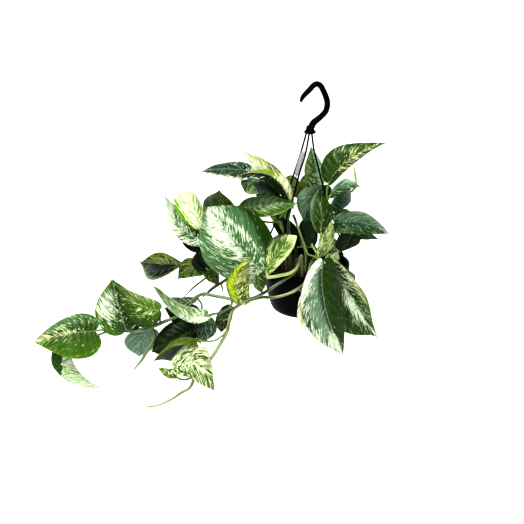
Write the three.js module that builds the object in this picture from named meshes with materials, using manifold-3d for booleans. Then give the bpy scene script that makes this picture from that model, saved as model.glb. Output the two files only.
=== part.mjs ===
// A marble queen pothos in a black hanging pot, with its three-strand hanger.
// Millimetres, +Z up. The origin is the inside top of the hook, where it hangs.
// Lengths of the pot are measured from the middle of its rim.

import * as THREE from 'three';
import { mergeVertices } from 'three/addons/utils/BufferGeometryUtils.js';
import Module from 'manifold-3d';

const wasm = await Module();
wasm.setup();

// Driving dimensions of the pot, the soil and the hanger.
const RIM_RADIUS = 75;
const LIP_HEIGHT = 9;
const LIP_OVERHANG = 3.5;
const POT_HEIGHT = 83;
const POT_WALL = 2;
const DRAIN_HOLE_RADIUS = 5;
const DRAIN_HOLE_CIRCLE = 24;
const DRAIN_HOLES = 5;
const SOIL_DEPTH = 10;
const FIT_GAP = 0.35;
const HOOK_THICKNESS = 9.2;
const STRAND_THICKNESS = 2.8;
const COLLAR_RADIUS = 9.5;
const TAG = { width: 15, length: 44, thickness: 0.8, turn: THREE.MathUtils.degToRad(58) };

// Driving dimensions of the plant.
const BLADE_THICKNESS = 0.8;
const STALK_RADIUS = 1.9;
const STEM_RADIUS = 2.9;
const ROOT_LENGTH = 14;
const ROOT_HOLE_DEPTH = 30;

// Sides of the round pieces, kept few because the fine surfaces are made elsewhere.
const SIDES = { stalk: 4, stem: 5, root: 6, twig: 4, strand: 5, hook: 8, collar: 12, drain: 8 };
const SEGMENTS = { pot: 24, soil: 20 };

// Places are read as the plant is seen from the front, from 20 degrees above level.
// A place is [steps right, steps down, millimetres in front of the pot's middle plane].
const SIGHT = {
  tilt: THREE.MathUtils.degToRad(20),
  distance: 1800,
  step: 5 / 3,
  middle: [262, 262],
  aim: new THREE.Vector3(-71, 0, 0),
};
const EYE = new THREE.Vector3(
  SIGHT.aim.x,
  -SIGHT.distance * Math.cos(SIGHT.tilt),
  SIGHT.distance * Math.sin(SIGHT.tilt),
);

function seen([right, down, front]) {
  const across = (right - SIGHT.middle[0]) * SIGHT.step;
  const up = (SIGHT.middle[1] - down) * SIGHT.step;
  const onPlane = new THREE.Vector3(
    SIGHT.aim.x + across,
    up * Math.sin(SIGHT.tilt),
    up * Math.cos(SIGHT.tilt),
  );
  const ray = onPlane.sub(EYE);
  return EYE.clone().addScaledVector(ray, (-front - EYE.y) / ray.y);
}

const HANG_POINT = seen([317, 86.5, 0]);

// Solids: a closed three.js mesh becomes a solid that can be joined and cut.
function solid(geometry) {
  const bare = geometry.index ? geometry.clone() : geometry;
  bare.deleteAttribute('normal');
  bare.deleteAttribute('uv');
  const merged = mergeVertices(bare, 1e-4);
  return new wasm.Manifold(new wasm.Mesh({
    numProp: 3,
    vertProperties: new Float32Array(merged.attributes.position.array),
    triVerts: new Uint32Array(merged.index.array),
  }));
}

function fuse(solids) {
  return solids.reduce((whole, piece) => whole.add(piece));
}

function meshOf(name, body, finish) {
  const raw = body.getMesh();
  const geometry = new THREE.BufferGeometry();
  geometry.setAttribute('position', new THREE.BufferAttribute(raw.vertProperties, raw.numProp));
  geometry.setIndex(new THREE.BufferAttribute(raw.triVerts, 1));
  geometry.computeVertexNormals();
  const mesh = new THREE.Mesh(geometry, finish);
  mesh.name = name;
  return mesh;
}

function finish(color, roughness) {
  return new THREE.MeshStandardMaterial({ color, roughness, metalness: 0 });
}

// A round tube of one thickness along a smooth curve through the given points.
function tube(points, radius, sides, steps) {
  const section = new THREE.Shape();
  for (let i = 0; i < sides; i += 1) {
    const turn = (2 * Math.PI * i) / sides;
    const corner = [radius * Math.cos(turn), radius * Math.sin(turn)];
    if (i === 0) section.moveTo(...corner);
    else section.lineTo(...corner);
  }
  const extrudePath = new THREE.CatmullRomCurve3(points, false, 'centripetal');
  return solid(new THREE.ExtrudeGeometry(section, { steps, extrudePath, bevelEnabled: false }));
}

function turned(profile, segments) {
  const points = profile.map(([radius, height]) => new THREE.Vector2(radius, height));
  const geometry = new THREE.LatheGeometry(points, segments);
  geometry.rotateX(Math.PI / 2);
  return solid(geometry);
}

function upright(radius, height, sides, place) {
  const geometry = new THREE.CylinderGeometry(radius, radius, height, sides);
  geometry.rotateX(Math.PI / 2);
  geometry.translate(place.x, place.y, place.z);
  return solid(geometry);
}

// The heart shape of a blade, for b from 0 at the stalk to 1 at the tip.
// halfWidth is the share of the widest half, edgeRun how far along the rib the edge lies,
// and ribRun where the vein that ends there leaves the rib.
// A blade is widest a third of the way along its rib, unless its row says otherwise.
const WIDEST_RUN = 0.32;
const swell = (widest) => Math.log(0.5) / Math.log(widest + 0.197 * (1 - widest) ** 2);
const halfWidth = (b, { taper, widest }) => (
  (Math.sin(Math.PI * b ** swell(widest)) ** 0.8 * (1 - 0.35 * b ** 6)) ** taper
);
const edgeRun = (b, lobe) => b - lobe * Math.sin(Math.PI * Math.sqrt(b)) * (1 - b) ** 1.5;
const ribRun = (b) => b ** 1.6;

// The middle surface of a blade. Its rib runs through three places, and its halves reach
// to the widest places of the left and right edge. Each half bulges and its edge waves.
function bladePoint(leaf, a, b) {
  const s = Math.abs(a);
  const run = ribRun(b) + (edgeRun(b, leaf.lobe) - ribRun(b)) * s ** 1.35;
  const share = halfWidth(b, leaf);
  const place = leaf.rib(run);
  const reach = a < 0 ? leaf.left : leaf.right;
  const normal = a < 0 ? leaf.leftNormal : leaf.rightNormal;
  const size = reach.length();
  const bulge = (a < 0 ? leaf.cup[0] : leaf.cup[1]) * size * share * Math.sin(Math.PI * s);
  const wave = leaf.wave * size * s * s * Math.sin(2 * Math.PI * (2.3 * b + leaf.phase + 0.4 * (a > 0)));
  const curl = leaf.curl * leaf.length * Math.max(0, (run - 0.6) / 0.4) ** 2;
  place.addScaledVector(reach, s * share);
  place.addScaledVector(normal, bulge + wave * Math.min(1, 6 * b * (1 - b)) - curl);
  return place;
}

function bladeFrame(row) {
  const [base, middle, tip, left, right] = row.at.map(seen);
  const pull = middle.clone().multiplyScalar(2).sub(base.clone().add(tip).multiplyScalar(0.5));
  const rib = (t) => base.clone().multiplyScalar((1 - t) * (1 - t))
    .addScaledVector(pull, 2 * t * (1 - t))
    .addScaledVector(tip, t * t);
  const along = tip.clone().sub(base).normalize();
  const widest = row.widest ?? WIDEST_RUN;
  const leftReach = left.sub(rib(widest));
  const rightReach = right.sub(rib(widest));
  return {
    rib,
    base,
    widest,
    left: leftReach,
    right: rightReach,
    leftNormal: along.clone().cross(leftReach).normalize(),
    rightNormal: rightReach.clone().cross(along).normalize(),
    setOut: pull.clone().sub(base).normalize(),
    length: tip.distanceTo(base),
    cup: row.cup ?? [0.08, 0.08],
    lobe: row.lobe ?? 0.22,
    taper: row.taper ?? 1,
    wave: row.wave ?? 0.03,
    curl: row.curl ?? 0,
    phase: row.phase ?? 0,
  };
}

// A blade as a thin closed solid: the middle surface moved half a thickness to each side.
const LARGE_LEAF = 124;
const STATIONS_LARGE = [0.06, 0.2, 0.4, 0.62, 0.84];
const STATIONS_SMALL = [0.09, 0.3, 0.58, 0.84];
const COLUMNS = [-1, -0.5, 0, 0.5, 1];
const TINY_LEAF = 73;
const COLUMNS_TINY = [-1, 0, 1];

function blade(leaf) {
  const stations = leaf.length > LARGE_LEAF ? STATIONS_LARGE : STATIONS_SMALL;
  const columns = leaf.length > TINY_LEAF ? COLUMNS : COLUMNS_TINY;
  const middle = [bladePoint(leaf, 0, 0)];
  stations.forEach((b) => columns.forEach((a) => middle.push(bladePoint(leaf, a, b))));
  middle.push(bladePoint(leaf, 0, 1));
  const last = middle.length - 1;
  const width = columns.length;
  const at = (row, column) => 1 + row * width + column;
  const faces = [];
  for (let column = 0; column < width - 1; column += 1) {
    faces.push([0, at(0, column + 1), at(0, column)]);
    faces.push([last, at(stations.length - 1, column), at(stations.length - 1, column + 1)]);
    for (let row = 0; row < stations.length - 1; row += 1) {
      const [p, q] = [at(row, column), at(row, column + 1)];
      const [r, s] = [at(row + 1, column), at(row + 1, column + 1)];
      if (column < width / 2 - 1) faces.push([p, q, r], [q, s, r]);
      else faces.push([p, s, r], [p, q, s]);
    }
  }
  const sheet = new THREE.BufferGeometry().setFromPoints(middle);
  sheet.setIndex(faces.flat());
  sheet.computeVertexNormals();
  const normals = sheet.attributes.normal;
  const skins = [];
  [0.5, -0.5].forEach((side) => middle.forEach((place, i) => {
    const normal = new THREE.Vector3().fromBufferAttribute(normals, i);
    skins.push(place.clone().addScaledVector(normal, side * BLADE_THICKNESS));
  }));
  const under = middle.length;
  const edge = [0];
  for (let row = 0; row < stations.length; row += 1) edge.push(at(row, width - 1));
  edge.push(last);
  for (let row = stations.length - 1; row >= 0; row -= 1) edge.push(at(row, 0));
  const closed = faces.slice();
  faces.forEach(([p, q, r]) => closed.push([under + p, under + r, under + q]));
  edge.forEach((p, i) => {
    const q = edge[(i + 1) % edge.length];
    closed.push([p, under + p, q], [q, under + p, under + q]);
  });
  const skin = new THREE.BufferGeometry().setFromPoints(skins);
  skin.setIndex(closed.flat());
  return solid(skin);
}

// A stalk leaves its stem upwards and meets the blade from behind, unless its way is given.
function stalk(leaf, foot, via) {
  const reach = foot.distanceTo(leaf.base);
  const end = leaf.base.clone().addScaledVector(leaf.setOut, 1.5);
  if (via) return tube([foot, ...via.map(seen), end], STALK_RADIUS, SIDES.stalk, via.length + 3);
  const rise = foot.clone().add(new THREE.Vector3(0, 0, 0.35 * reach));
  const arrive = leaf.base.clone().addScaledVector(leaf.setOut, -0.3 * reach);
  const curve = new THREE.CubicBezierCurve3(foot, rise, arrive, end);
  return tube(curve.getPoints(4), STALK_RADIUS, SIDES.stalk, 4);
}

// One shoot: a stem from its root end in the soil, with a stalk and a blade for each leaf.
function shoot(row) {
  const stem = row.stem.map(seen);
  const top = stem[0];
  const root = new THREE.Vector3(top.x, top.y, -SOIL_DEPTH - ROOT_LENGTH);
  const collar = new THREE.Vector3(top.x, top.y, -SOIL_DEPTH + 3);
  const girth = row.girth ?? STEM_RADIUS;
  const rootMiddle = new THREE.Vector3(top.x, top.y, (root.z + collar.z) / 2);
  const rise = [collar.clone().setZ(-SOIL_DEPTH + 1), ...stem];
  const pieces = [
    upright(girth, collar.z - root.z + 1, SIDES.root, rootMiddle),
    tube(rise, girth * 0.98, SIDES.stem, Math.ceil(1.1 * stem.length)),
  ];
  row.leaves.forEach((entry) => {
    const leaf = bladeFrame(entry);
    const foot = entry.foot ? seen(entry.foot) : stem[stem.length - 1];
    pieces.push(blade(leaf), stalk(leaf, foot, entry.via));
  });
  (row.twigs ?? []).forEach(({ path, radius }) => {
    pieces.push(tube(path.map(seen), radius, SIDES.twig, path.length + 1));
  });
  const hole = upright(girth + 3 * FIT_GAP, 2 * ROOT_HOLE_DEPTH, SIDES.root, root);
  return { name: row.name, body: fuse(pieces), hole };
}

// The shoots, leaf by leaf: rib at stalk, rib middle, tip, widest left edge, widest right edge.
const SHOOTS = [
  {
    name: 'shoot_front_left',
    stem: [[302, 262, 48], [301.5, 256, 52], [299, 263, 68], [296, 269, 80], [290, 273, 86],
      [280, 275.5, 90], [270, 277, 90], [264, 277, 88]],
    leaves: [
      { name: 'largest', at: [[260, 271, 82], [233.5, 239, 80], [207, 207, 64], [207, 264, 70],
        [262.5, 219.5, 58]], via: [[260, 275, 86]], cup: [0.1, 0.2], widest: 0.47, taper: 0.75 },
      { name: 'inner_upright', at: [[266, 272, 86], [278, 254, 90], [297, 235.5, 84],
        [269, 241, 76], [288, 256, 98]], foot: [268, 277, 90], widest: 0.5, taper: 0.8 },
      { name: 'small_hanging', at: [[258, 274, 96], [258, 284, 100], [262, 293, 102],
        [266, 280, 98], [253, 283, 100]], foot: [264, 277, 88] },
    ],
  },
  {
    name: 'vine_far_left',
    stem: [[297, 266, 40], [297, 260, 50], [297, 266, 64], [296, 271, 73], [290, 276, 80],
      [278, 284, 87], [260, 295, 92], [250, 299, 95], [238, 302, 97], [230, 299, 94],
      [215, 296, 85], [204, 294, 76], [195, 298, 62], [186, 307, 52], [176, 317, 46],
      [168, 320, 46], [152, 327, 46], [140, 331, 44], [125, 331, 40], [108, 331, 44]],
    leaves: [
      { name: 'new_curled', at: [[238, 302, 101], [234, 279, 108], [252, 256, 100],
        [226, 286, 104], [249, 286, 96]], foot: [239, 303, 97] },
      { name: 'long_pale', at: [[205, 316, 74], [178, 311.5, 80], [153.5, 287, 80], [179, 318, 92],
        [172, 298, 68]], foot: [232, 300, 94], via: [[231, 306, 88], [222, 312, 80], [212, 314, 76]],
        taper: 0.55, widest: 0.55 },
      { name: 'small_pale', at: [[196, 301, 62], [183, 302, 62], [169, 297, 60], [184, 306, 70],
        [186, 297, 52]], foot: [204, 294, 76], via: [[199, 296, 68]] },
      { name: 'wide_streaked', at: [[126, 330, 52], [118.5, 305, 58], [112, 278.5, 58], [96, 319, 48],
        [141, 309, 38]], foot: [138, 331, 44], via: [[132, 331, 46]] },
      { name: 'streaked_beside', at: [[160, 310, 54], [138, 304, 58], [114, 282, 66], [140, 327, 64],
        [141, 295, 50]], foot: [160, 323.5, 46], via: [[160, 317, 50]] },
      { name: 'dark_upper', at: [[199, 317, 32], [183, 317, 32], [164, 307.5, 34], [187, 335, 36],
        [186, 303, 26]], foot: [197, 297.5, 64], via: [[202, 306, 46]] },
      { name: 'far_tip', at: [[95, 331, 50], [65, 334.5, 56], [32, 342, 56], [84, 358.5, 70],
        [79, 313.5, 32]], foot: [108, 331, 44], via: [[102, 330, 47]], lobe: 0.18 },
      { name: 'far_folded', at: [[63, 353, 48], [71, 382.5, 50], [104.5, 387, 48], [74, 363, 34],
        [53, 366, 42]], foot: [108, 331, 44], via: [[96, 336, 36], [78, 344, 40], [66, 347, 46]] },
      { name: 'blue_underside', at: [[149, 329, 34], [141, 342, 30], [139, 357, 24],
        [125, 338, 30], [157, 343, 24]], foot: [156, 325, 46], via: [[152, 326, 40]] },
    ],
    twigs: [
      { path: [[153, 327, 46], [154, 338, 48], [146, 353, 50], [141, 361, 50], [134, 369.5, 50]],
        radius: 1.8 },
    ],
  },
  {
    name: 'vine_low_left',
    stem: [[316, 264, 52], [315, 258, 58], [311, 265, 68], [309, 272, 76], [306, 282, 84],
      [294, 291, 85], [275, 297.2, 86], [262, 297.4, 86], [250, 300.3, 86], [240, 304.5, 84],
      [232, 311, 80], [229, 322, 78], [227, 332, 78], [221, 343, 80], [212, 357, 80],
      [201, 370, 76], [195, 377, 78], [190, 387.5, 80], [181, 393, 82], [172, 399, 84],
      [157, 405.5, 86], [146, 407, 88]],
    leaves: [
      { name: 'dark_inner', at: [[230, 305, 78], [226, 318, 72], [221, 333, 68], [232, 319, 66],
        [216, 317, 70]], foot: [232, 311, 80] },
      { name: 'grey_inner', at: [[206, 316, 62], [205, 328, 60], [202, 343, 58], [217, 329, 54],
        [194, 330, 52]], foot: [230, 315, 79], via: [[220, 313, 68]] },
      { name: 'edge_on', at: [[200, 341, 76], [177, 339, 82], [153, 362, 80], [182, 345, 98],
        [184, 360, 60]], foot: [228, 329, 78], via: [[222, 336, 78], [213, 341, 77]] },
      { name: 'dark_low', at: [[197, 327, 50], [176, 338, 50], [151, 352, 48], [180, 353, 60],
        [170, 323, 38]], foot: [230, 318, 78], via: [[215, 322, 62], [204, 324, 52]] },
      { name: 'pale_hanging', at: [[303, 292, 82], [302, 310, 80], [306, 330, 78], [309, 308, 76],
        [297, 312, 82]], foot: [294, 291, 85], via: [[299, 289.5, 86]] },
      { name: 'low_marbled', at: [[174, 366, 90], [198, 366, 96], [214.5, 391, 92], [200, 342.5, 82],
        [186, 377, 100]], foot: [194, 376, 78], via: [[184, 373, 84]], widest: 0.42, taper: 0.8 },
      { name: 'small_rolled', at: [[176, 377, 80], [167, 374, 82], [158, 368, 80], [168, 378, 88],
        [169, 369, 76]], foot: [194, 376, 78], via: [[188, 379, 79], [182, 379.5, 80]] },
    ],
  },
  {
    name: 'vine_upper_left',
    stem: [[281, 262, 10], [279, 248, 18], [268, 244, 28], [256, 250, 34], [244, 264, 34],
      [232, 276, 32], [225, 280.5, 30], [217, 284, 28], [210, 266, 24], [204, 248, 22]],
    leaves: [
      { name: 'dark_peak', at: [[222, 228, 20], [219, 209, 10], [219.5, 189, 0], [203, 207, 10],
        [237.5, 213, 5]], foot: [204, 248, 22], taper: 1.3 },
      { name: 'cream_upright', at: [[202, 229, 26], [194, 209, 20], [187, 189, 8], [175, 208, 18],
        [202, 205, 8]], foot: [204, 248, 22] },
      { name: 'outer_crescent', at: [[203, 241, 28], [178, 224, 22], [164, 193, 4], [180, 240, 36],
        [192, 222, 2]], foot: [204, 248, 22] },
      { name: 'dark_sliver', at: [[203, 251, 28], [191, 246, 24], [181, 239, 20], [191, 251, 32],
        [192, 241, 10]], foot: [204, 254, 22] },
      { name: 'side_olive', at: [[181, 264, 20], [160, 264, 18], [137, 262, 14], [151, 280.5, 34],
        [159, 252, -2]], foot: [208, 262, 23], via: [[194, 266, 16]], taper: 1.9, widest: 0.5 },
      { name: 'low_olive', at: [[208, 266, 30], [192, 266.5, 32], [177.5, 280, 28], [196, 276.5, 40],
        [188, 258, 18]], foot: [211, 268, 24] },
      { name: 'dark_wedge', at: [[207, 269, 40], [200, 260, 36], [199, 249, 30], [192.5, 266, 42],
        [208, 257, 32]], foot: [212, 271, 25] },
      { name: 'low_point', at: [[208, 270, 30], [213, 277, 32], [219, 285, 34], [217, 270, 28],
        [205, 278, 36]], foot: [212, 271, 25] },
    ],
    twigs: [
      { path: [[222, 282, 29], [213, 288, 30], [203, 297, 32]], radius: 1.5 },
      { path: [[212, 272, 25.5], [207, 277, 30], [194, 287, 34], [183, 298, 36]], radius: 0.9 },
      { path: [[221, 282, 29], [222, 287, 30], [223, 293, 31]], radius: 0.8 },
    ],
  },
  {
    name: 'shoot_top_left',
    stem: [[290, 258, 14], [290, 240, 6], [288, 225, 2], [288, 214, 0]],
    girth: 2.6,
    leaves: [
      { name: 'top_bluish', at: [[252, 171.5, -34], [227, 169, -34], [200.5, 171.5, -34],
        [236, 179.5, -14], [238, 161.5, -54]], via: [[282, 196, -14], [268, 178, -30]] },
      { name: 'top_yellow', at: [[285, 189, -20], [268, 172, -20], [241.5, 150, -22], [262, 181, -12],
        [276, 167, -38]], foot: [288, 220, 0], via: [[291, 204, -10]], taper: 1.35, widest: 0.38 },
      { name: 'top_bright', at: [[290, 203, 12], [270, 175.5, 14], [236, 176.5, 10], [273, 188, 28],
        [284, 175, 0]], taper: 1.35, widest: 0.36 },
      { name: 'round_green', at: [[266, 181, -14], [252, 182, -12], [245, 193, -10],
        [258, 194, 2], [245, 178, -26]], foot: [289, 232, 4], via: [[283, 205, -8], [275, 188, -14]] },
      { name: 'dark_round', at: [[273, 185, 0], [263, 188, 2], [257, 199, 0], [271, 198, 12],
        [258, 182, -8]], foot: [289, 228, 4], via: [[284, 200, 0]] },
      { name: 'dark_behind', at: [[289, 202, 0], [280, 192, -4], [270, 187, -8],
        [276, 201, 10], [284, 187, -14]], foot: [288, 222, 2] },
    ],
  },
  {
    name: 'shoot_middle_left',
    stem: [[286, 264, 26], [286, 246, 30], [284, 232, 32], [281, 222, 34]],
    girth: 2.4,
    leaves: [
      { name: 'crossing', at: [[244, 208, 32], [270, 205, 42], [298, 203.5, 52], [260, 196, 24],
        [266, 217, 46]], via: [[266, 222, 30], [250, 216, 28]] },
      { name: 'grey_behind', at: [[262, 207, 26], [250, 204, 24], [236, 208, 24], [252, 211, 32],
        [254, 197, 14]], foot: [283, 230, 33], via: [[272, 214, 28]] },
    ],
  },
  {
    name: 'shoot_top_right',
    stem: [[306, 256, -16], [307, 236, -22], [309, 218, -28], [312, 206, -30]],
    girth: 2.6,
    leaves: [
      { name: 'upright_pale', at: [[318, 185, -34], [315, 165, -38], [311, 146, -44],
        [305, 178, -46], [325, 175, -34]], lobe: 0.1 },
      { name: 'olive_behind', at: [[303, 192, -52], [293, 186, -56], [282, 183, -60],
        [292, 196, -46], [294, 176, -68]] },
      { name: 'dark_between', at: [[318, 189, -48], [308, 183, -52], [297, 187, -56],
        [309, 191, -40], [310, 174, -64]], foot: [310, 214, -29] },
      { name: 'big_blue', at: [[327, 185, -34], [313, 196, -20], [303, 222, -8], [323, 208, -22],
        [299.5, 193, -28]], foot: [312, 206, -30], via: [[324, 194, -40]], widest: 0.4 },
    ],
  },
  {
    name: 'shoot_right',
    stem: [[320, 254, -4], [323, 236, -6], [325, 220, -8], [327, 208, -10]],
    girth: 2.6,
    leaves: [
      { name: 'long_speckled', at: [[329, 183, 0], [351.5, 157.5, -4], [388, 142.5, -10],
        [326.5, 154.5, -18], [345, 171.5, 10]], lobe: 0.1, taper: 1.1 },
      { name: 'pale_band', at: [[330, 196, 8], [344, 186, 14], [361, 187, 22], [340, 181, -6],
        [342, 193, 26]], lobe: 0.12 },
      { name: 'dark_rounded', at: [[331, 205, -8], [344, 198, -18], [351, 202, -42],
        [345, 186, -22], [339, 211, -12]], lobe: 0.12 },
      { name: 'rolled_new', at: [[356, 187, -40], [355, 175, -38], [353, 163, -36], [354.5, 180, -37],
        [357, 180, -42]], foot: [327, 208, -10], via: [[336, 207, -16], [343, 198, -48],
        [352, 191, -50]], wave: 0 },
      { name: 'green_behind', at: [[332, 217, -14], [342, 215, -18], [353, 214, -24],
        [342, 209, -28], [343, 222, -16]], foot: [326, 214, -9] },
    ],
  },
  {
    name: 'shoot_front_right',
    stem: [[316, 262, 24], [318, 252, 38], [319, 247, 44]],
    leaves: [
      { name: 'front_streaked', at: [[321, 234, 48], [321, 213, 43], [316, 192, 30],
        [310, 214, 40], [333, 214, 34]], lobe: 0.1 },
      { name: 'pale_folded', at: [[320, 256, 76], [326, 238, 72], [332, 219, 62], [320, 243, 80],
        [333, 246, 60]], foot: [318, 252, 38], lobe: 0.08 },
      { name: 'dark_fill', at: [[312, 245, 16], [308, 231, 10], [303, 219, 6], [300, 232, 6],
        [317, 229, 8]], foot: [317, 256, 32] },
    ],
  },
  {
    name: 'shoot_far_right',
    stem: [[330, 262, 8], [332, 250, 6], [333, 238, 4], [333, 230, 4]],
    girth: 2.6,
    leaves: [
      { name: 'right_bluish', at: [[336, 223, 16], [362, 222.5, 22], [389.5, 234, 24], [355, 210.5, -6],
        [352, 234, 40]], taper: 0.9 },
      { name: 'right_under', at: [[341, 230, -6], [359, 232, -6], [379, 239.5, -4], [355, 226, -22],
        [356, 238.5, 8]] },
      { name: 'dark_drooping', at: [[352, 228, -34], [350, 240, -32], [341, 252, -30],
        [361, 239, -40], [336, 241, -26]], foot: [333, 234, 4], via: [[341, 226, -22]], lobe: 0.1 },
    ],
  },
  {
    name: 'shoot_hanging_right',
    stem: [[306, 256, 20], [303, 243, 16], [298.5, 229, 15], [295.5, 221, 15], [293.5, 215.5, 15]],
    girth: 2.2,
    leaves: [
      { name: 'front_hanging', at: [[323, 261, 92], [325, 306, 98], [343.5, 355.5, 94], [343, 306, 80],
        [301, 311, 96]], foot: [293.5, 215.5, 15], via: [[295.5, 220, 28], [299.8, 232, 42], [304.2, 244, 52],
        [307.5, 253.5, 62], [315, 257, 80]], widest: 0.38, taper: 0.9 },
    ],
  },
  {
    name: 'shoot_behind_hanging',
    stem: [[326, 266, 40], [327, 258, 44], [329, 256, 50]],
    leaves: [
      { name: 'behind_hanging', at: [[332, 259, 70], [350, 297, 62], [380, 340, 46], [363, 291, 42],
        [335, 322, 70]], foot: [329, 256, 50], taper: 1.4, widest: 0.44, lobe: 0.12 },
      { name: 'curled_lobe', at: [[328, 260, 78], [334, 256, 74], [340, 259, 64], [334, 263, 82],
        [335, 252, 64]], foot: [329, 256, 50] },
      { name: 'bluish_bit', at: [[341, 268, 50], [348, 274, 45], [355, 283, 38], [353, 273, 34],
        [344, 281, 52]], foot: [327, 258, 44], via: [[333, 258, 50]] },
    ],
  },
  {
    name: 'shoot_back_left',
    stem: [[296, 252, -30], [294, 242, -40], [288, 234, -50], [284, 228, -54]],
    girth: 2.6,
    leaves: [
      { name: 'back_hanging_left', at: [[284, 238, -86], [281, 262, -106], [276, 298, -108],
        [266, 268, -98], [294, 271, -102]] },
      { name: 'back_left', at: [[262, 244, -50], [244, 246, -60], [222, 254, -64],
        [250, 262, -48], [250, 230, -72]], foot: [288, 234, -50] },
      { name: 'dark_middle', at: [[300, 240, -24], [286, 231, -20], [272, 224, -16], [288, 243, -14],
        [289, 220, -26]], foot: [295, 247, -35] },
      { name: 'back_upright_left', at: [[280, 222, -60], [275, 204, -76], [268, 186, -88],
        [267, 209, -72], [287, 205, -82]] },
    ],
  },
  {
    name: 'shoot_back_middle',
    stem: [[307, 250, -36], [307, 240, -48], [306, 232, -58], [308, 226, -60]],
    girth: 2.6,
    leaves: [
      { name: 'back_hanging_middle', at: [[306, 236, -90], [308, 260, -110], [311, 298, -112],
        [295, 266, -106], [322, 266, -106]], foot: [306, 232, -58] },
      { name: 'back_upright_middle', at: [[312, 222, -66], [315, 205, -84], [320, 188, -100],
        [304, 208, -82], [327, 210, -88]] },
    ],
  },
  {
    name: 'shoot_back_right',
    stem: [[322, 252, -30], [326, 242, -40], [331, 234, -50], [334, 228, -52]],
    girth: 2.6,
    leaves: [
      { name: 'back_hanging_right', at: [[333, 237, -80], [336, 260, -92], [339, 294, -92],
        [321, 266, -94], [347, 268, -84]], foot: [331, 234, -50] },
      { name: 'back_right', at: [[341, 224, -58], [354, 221, -68], [368, 226, -76],
        [350, 215, -80], [350, 233, -58]] },
    ],
  },
];

// The pot: one moulded shell with a turned-down lip, a round lower corner and drain holes.
const WALL_OUTSIDE = [[67, -30], [61, -56], [58, -68], [52, -78], [41, -POT_HEIGHT]];
const WALL_INSIDE = WALL_OUTSIDE.map(([radius, height], i) => {
  const lean = i / (WALL_OUTSIDE.length - 1);
  return [radius - POT_WALL * (1 - 0.6 * lean), height + POT_WALL * lean];
});
const MOUTH_RADIUS = RIM_RADIUS - LIP_OVERHANG - POT_WALL;
const potOutline = [
  [0, -POT_HEIGHT],
  ...WALL_OUTSIDE.slice().reverse(),
  [RIM_RADIUS - LIP_OVERHANG, -LIP_HEIGHT],
  [RIM_RADIUS, -LIP_HEIGHT],
  [RIM_RADIUS, 0],
  [MOUTH_RADIUS + 1, 0],
  [MOUTH_RADIUS, -LIP_HEIGHT],
  ...WALL_INSIDE,
  [0, -POT_HEIGHT + POT_WALL],
];
let potBody = turned(potOutline, SEGMENTS.pot);
for (let i = 0; i < DRAIN_HOLES; i += 1) {
  const turn = (2 * Math.PI * (i + 0.5)) / DRAIN_HOLES;
  const place = new THREE.Vector3(
    DRAIN_HOLE_CIRCLE * Math.cos(turn),
    DRAIN_HOLE_CIRCLE * Math.sin(turn),
    -POT_HEIGHT,
  );
  potBody = potBody.subtract(upright(DRAIN_HOLE_RADIUS, 12, SIDES.drain, place));
}

// The soil fills the pot to a little under the rim and stands open round each stem.
const soilSide = WALL_INSIDE.filter((_, i) => i % 2 === 0).reverse();
const soilOutline = [
  [0, -POT_HEIGHT + POT_WALL + FIT_GAP],
  ...soilSide.map(([radius, height]) => [radius - 1, height + FIT_GAP]),
  [MOUTH_RADIUS - 1.4, -SOIL_DEPTH - 1.5],
  [45, -SOIL_DEPTH],
  [0, -SOIL_DEPTH + 1.5],
];
let soilBody = turned(soilOutline, SEGMENTS.soil);

const shoots = SHOOTS.map(shoot);
shoots.forEach(({ hole }) => {
  soilBody = soilBody.subtract(hole);
});

// The hook: one thick round bar bent in an S, run down into a flanged collar.
const hookPath = [
  [301, 101, 0], [302.5, 97.5, 0], [305.8, 93.6, 0], [310, 89.3, 0], [313.8, 85.2, 0], [317, 83.9, 0],
  [320.2, 85.4, 0], [323, 90, 0], [325.8, 96.5, 0], [327.3, 102, 0], [327.1, 106.5, 0],
  [325.5, 111.5, 0], [322, 115.5, 0], [318, 119, 0], [313.5, 122.8, 0], [310.8, 128, 0],
].map(seen);
const collarPlace = seen([310, 131, 0]);
const collarProfile = [
  [0, -4], [COLLAR_RADIUS - 1.5, -4], [COLLAR_RADIUS, -2.5], [COLLAR_RADIUS, 0],
  [COLLAR_RADIUS - 2, 1.5], [HOOK_THICKNESS * 0.7, 3], [HOOK_THICKNESS * 0.55, 9], [0, 9],
];
const collarBody = turned(collarProfile, SIDES.collar).translate(collarPlace.toArray());
const hookRound = solid(new THREE.SphereGeometry(HOOK_THICKNESS / 2, SIDES.hook, 6))
  .translate(hookPath[0].toArray());
const hookBar = tube(hookPath, HOOK_THICKNESS / 2, SIDES.hook, 18);
const hookBody = fuse([hookBar, hookRound, collarBody]);

// Three strands run from the collar's underside to clips that grip the lip.
const STRANDS = [
  { name: 'strand_left', turn: 152, leave: [-6, 0.5],
    way: [[301, 152, -8], [294.5, 172, -14], [288, 192, -20]] },
  { name: 'strand_middle', turn: 224, leave: [-1.5, -4.5],
    way: [[305.2, 155, 9], [299.6, 173, 15], [293, 198, 26], [288, 213, 34], [284, 234, 42]] },
  { name: 'strand_right', turn: 34, leave: [3, 2.5],
    way: [[314, 150, -6], [318, 166, -12], [322, 182, -18], [327, 200, -24], [339, 235, -36]] },
];

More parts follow.
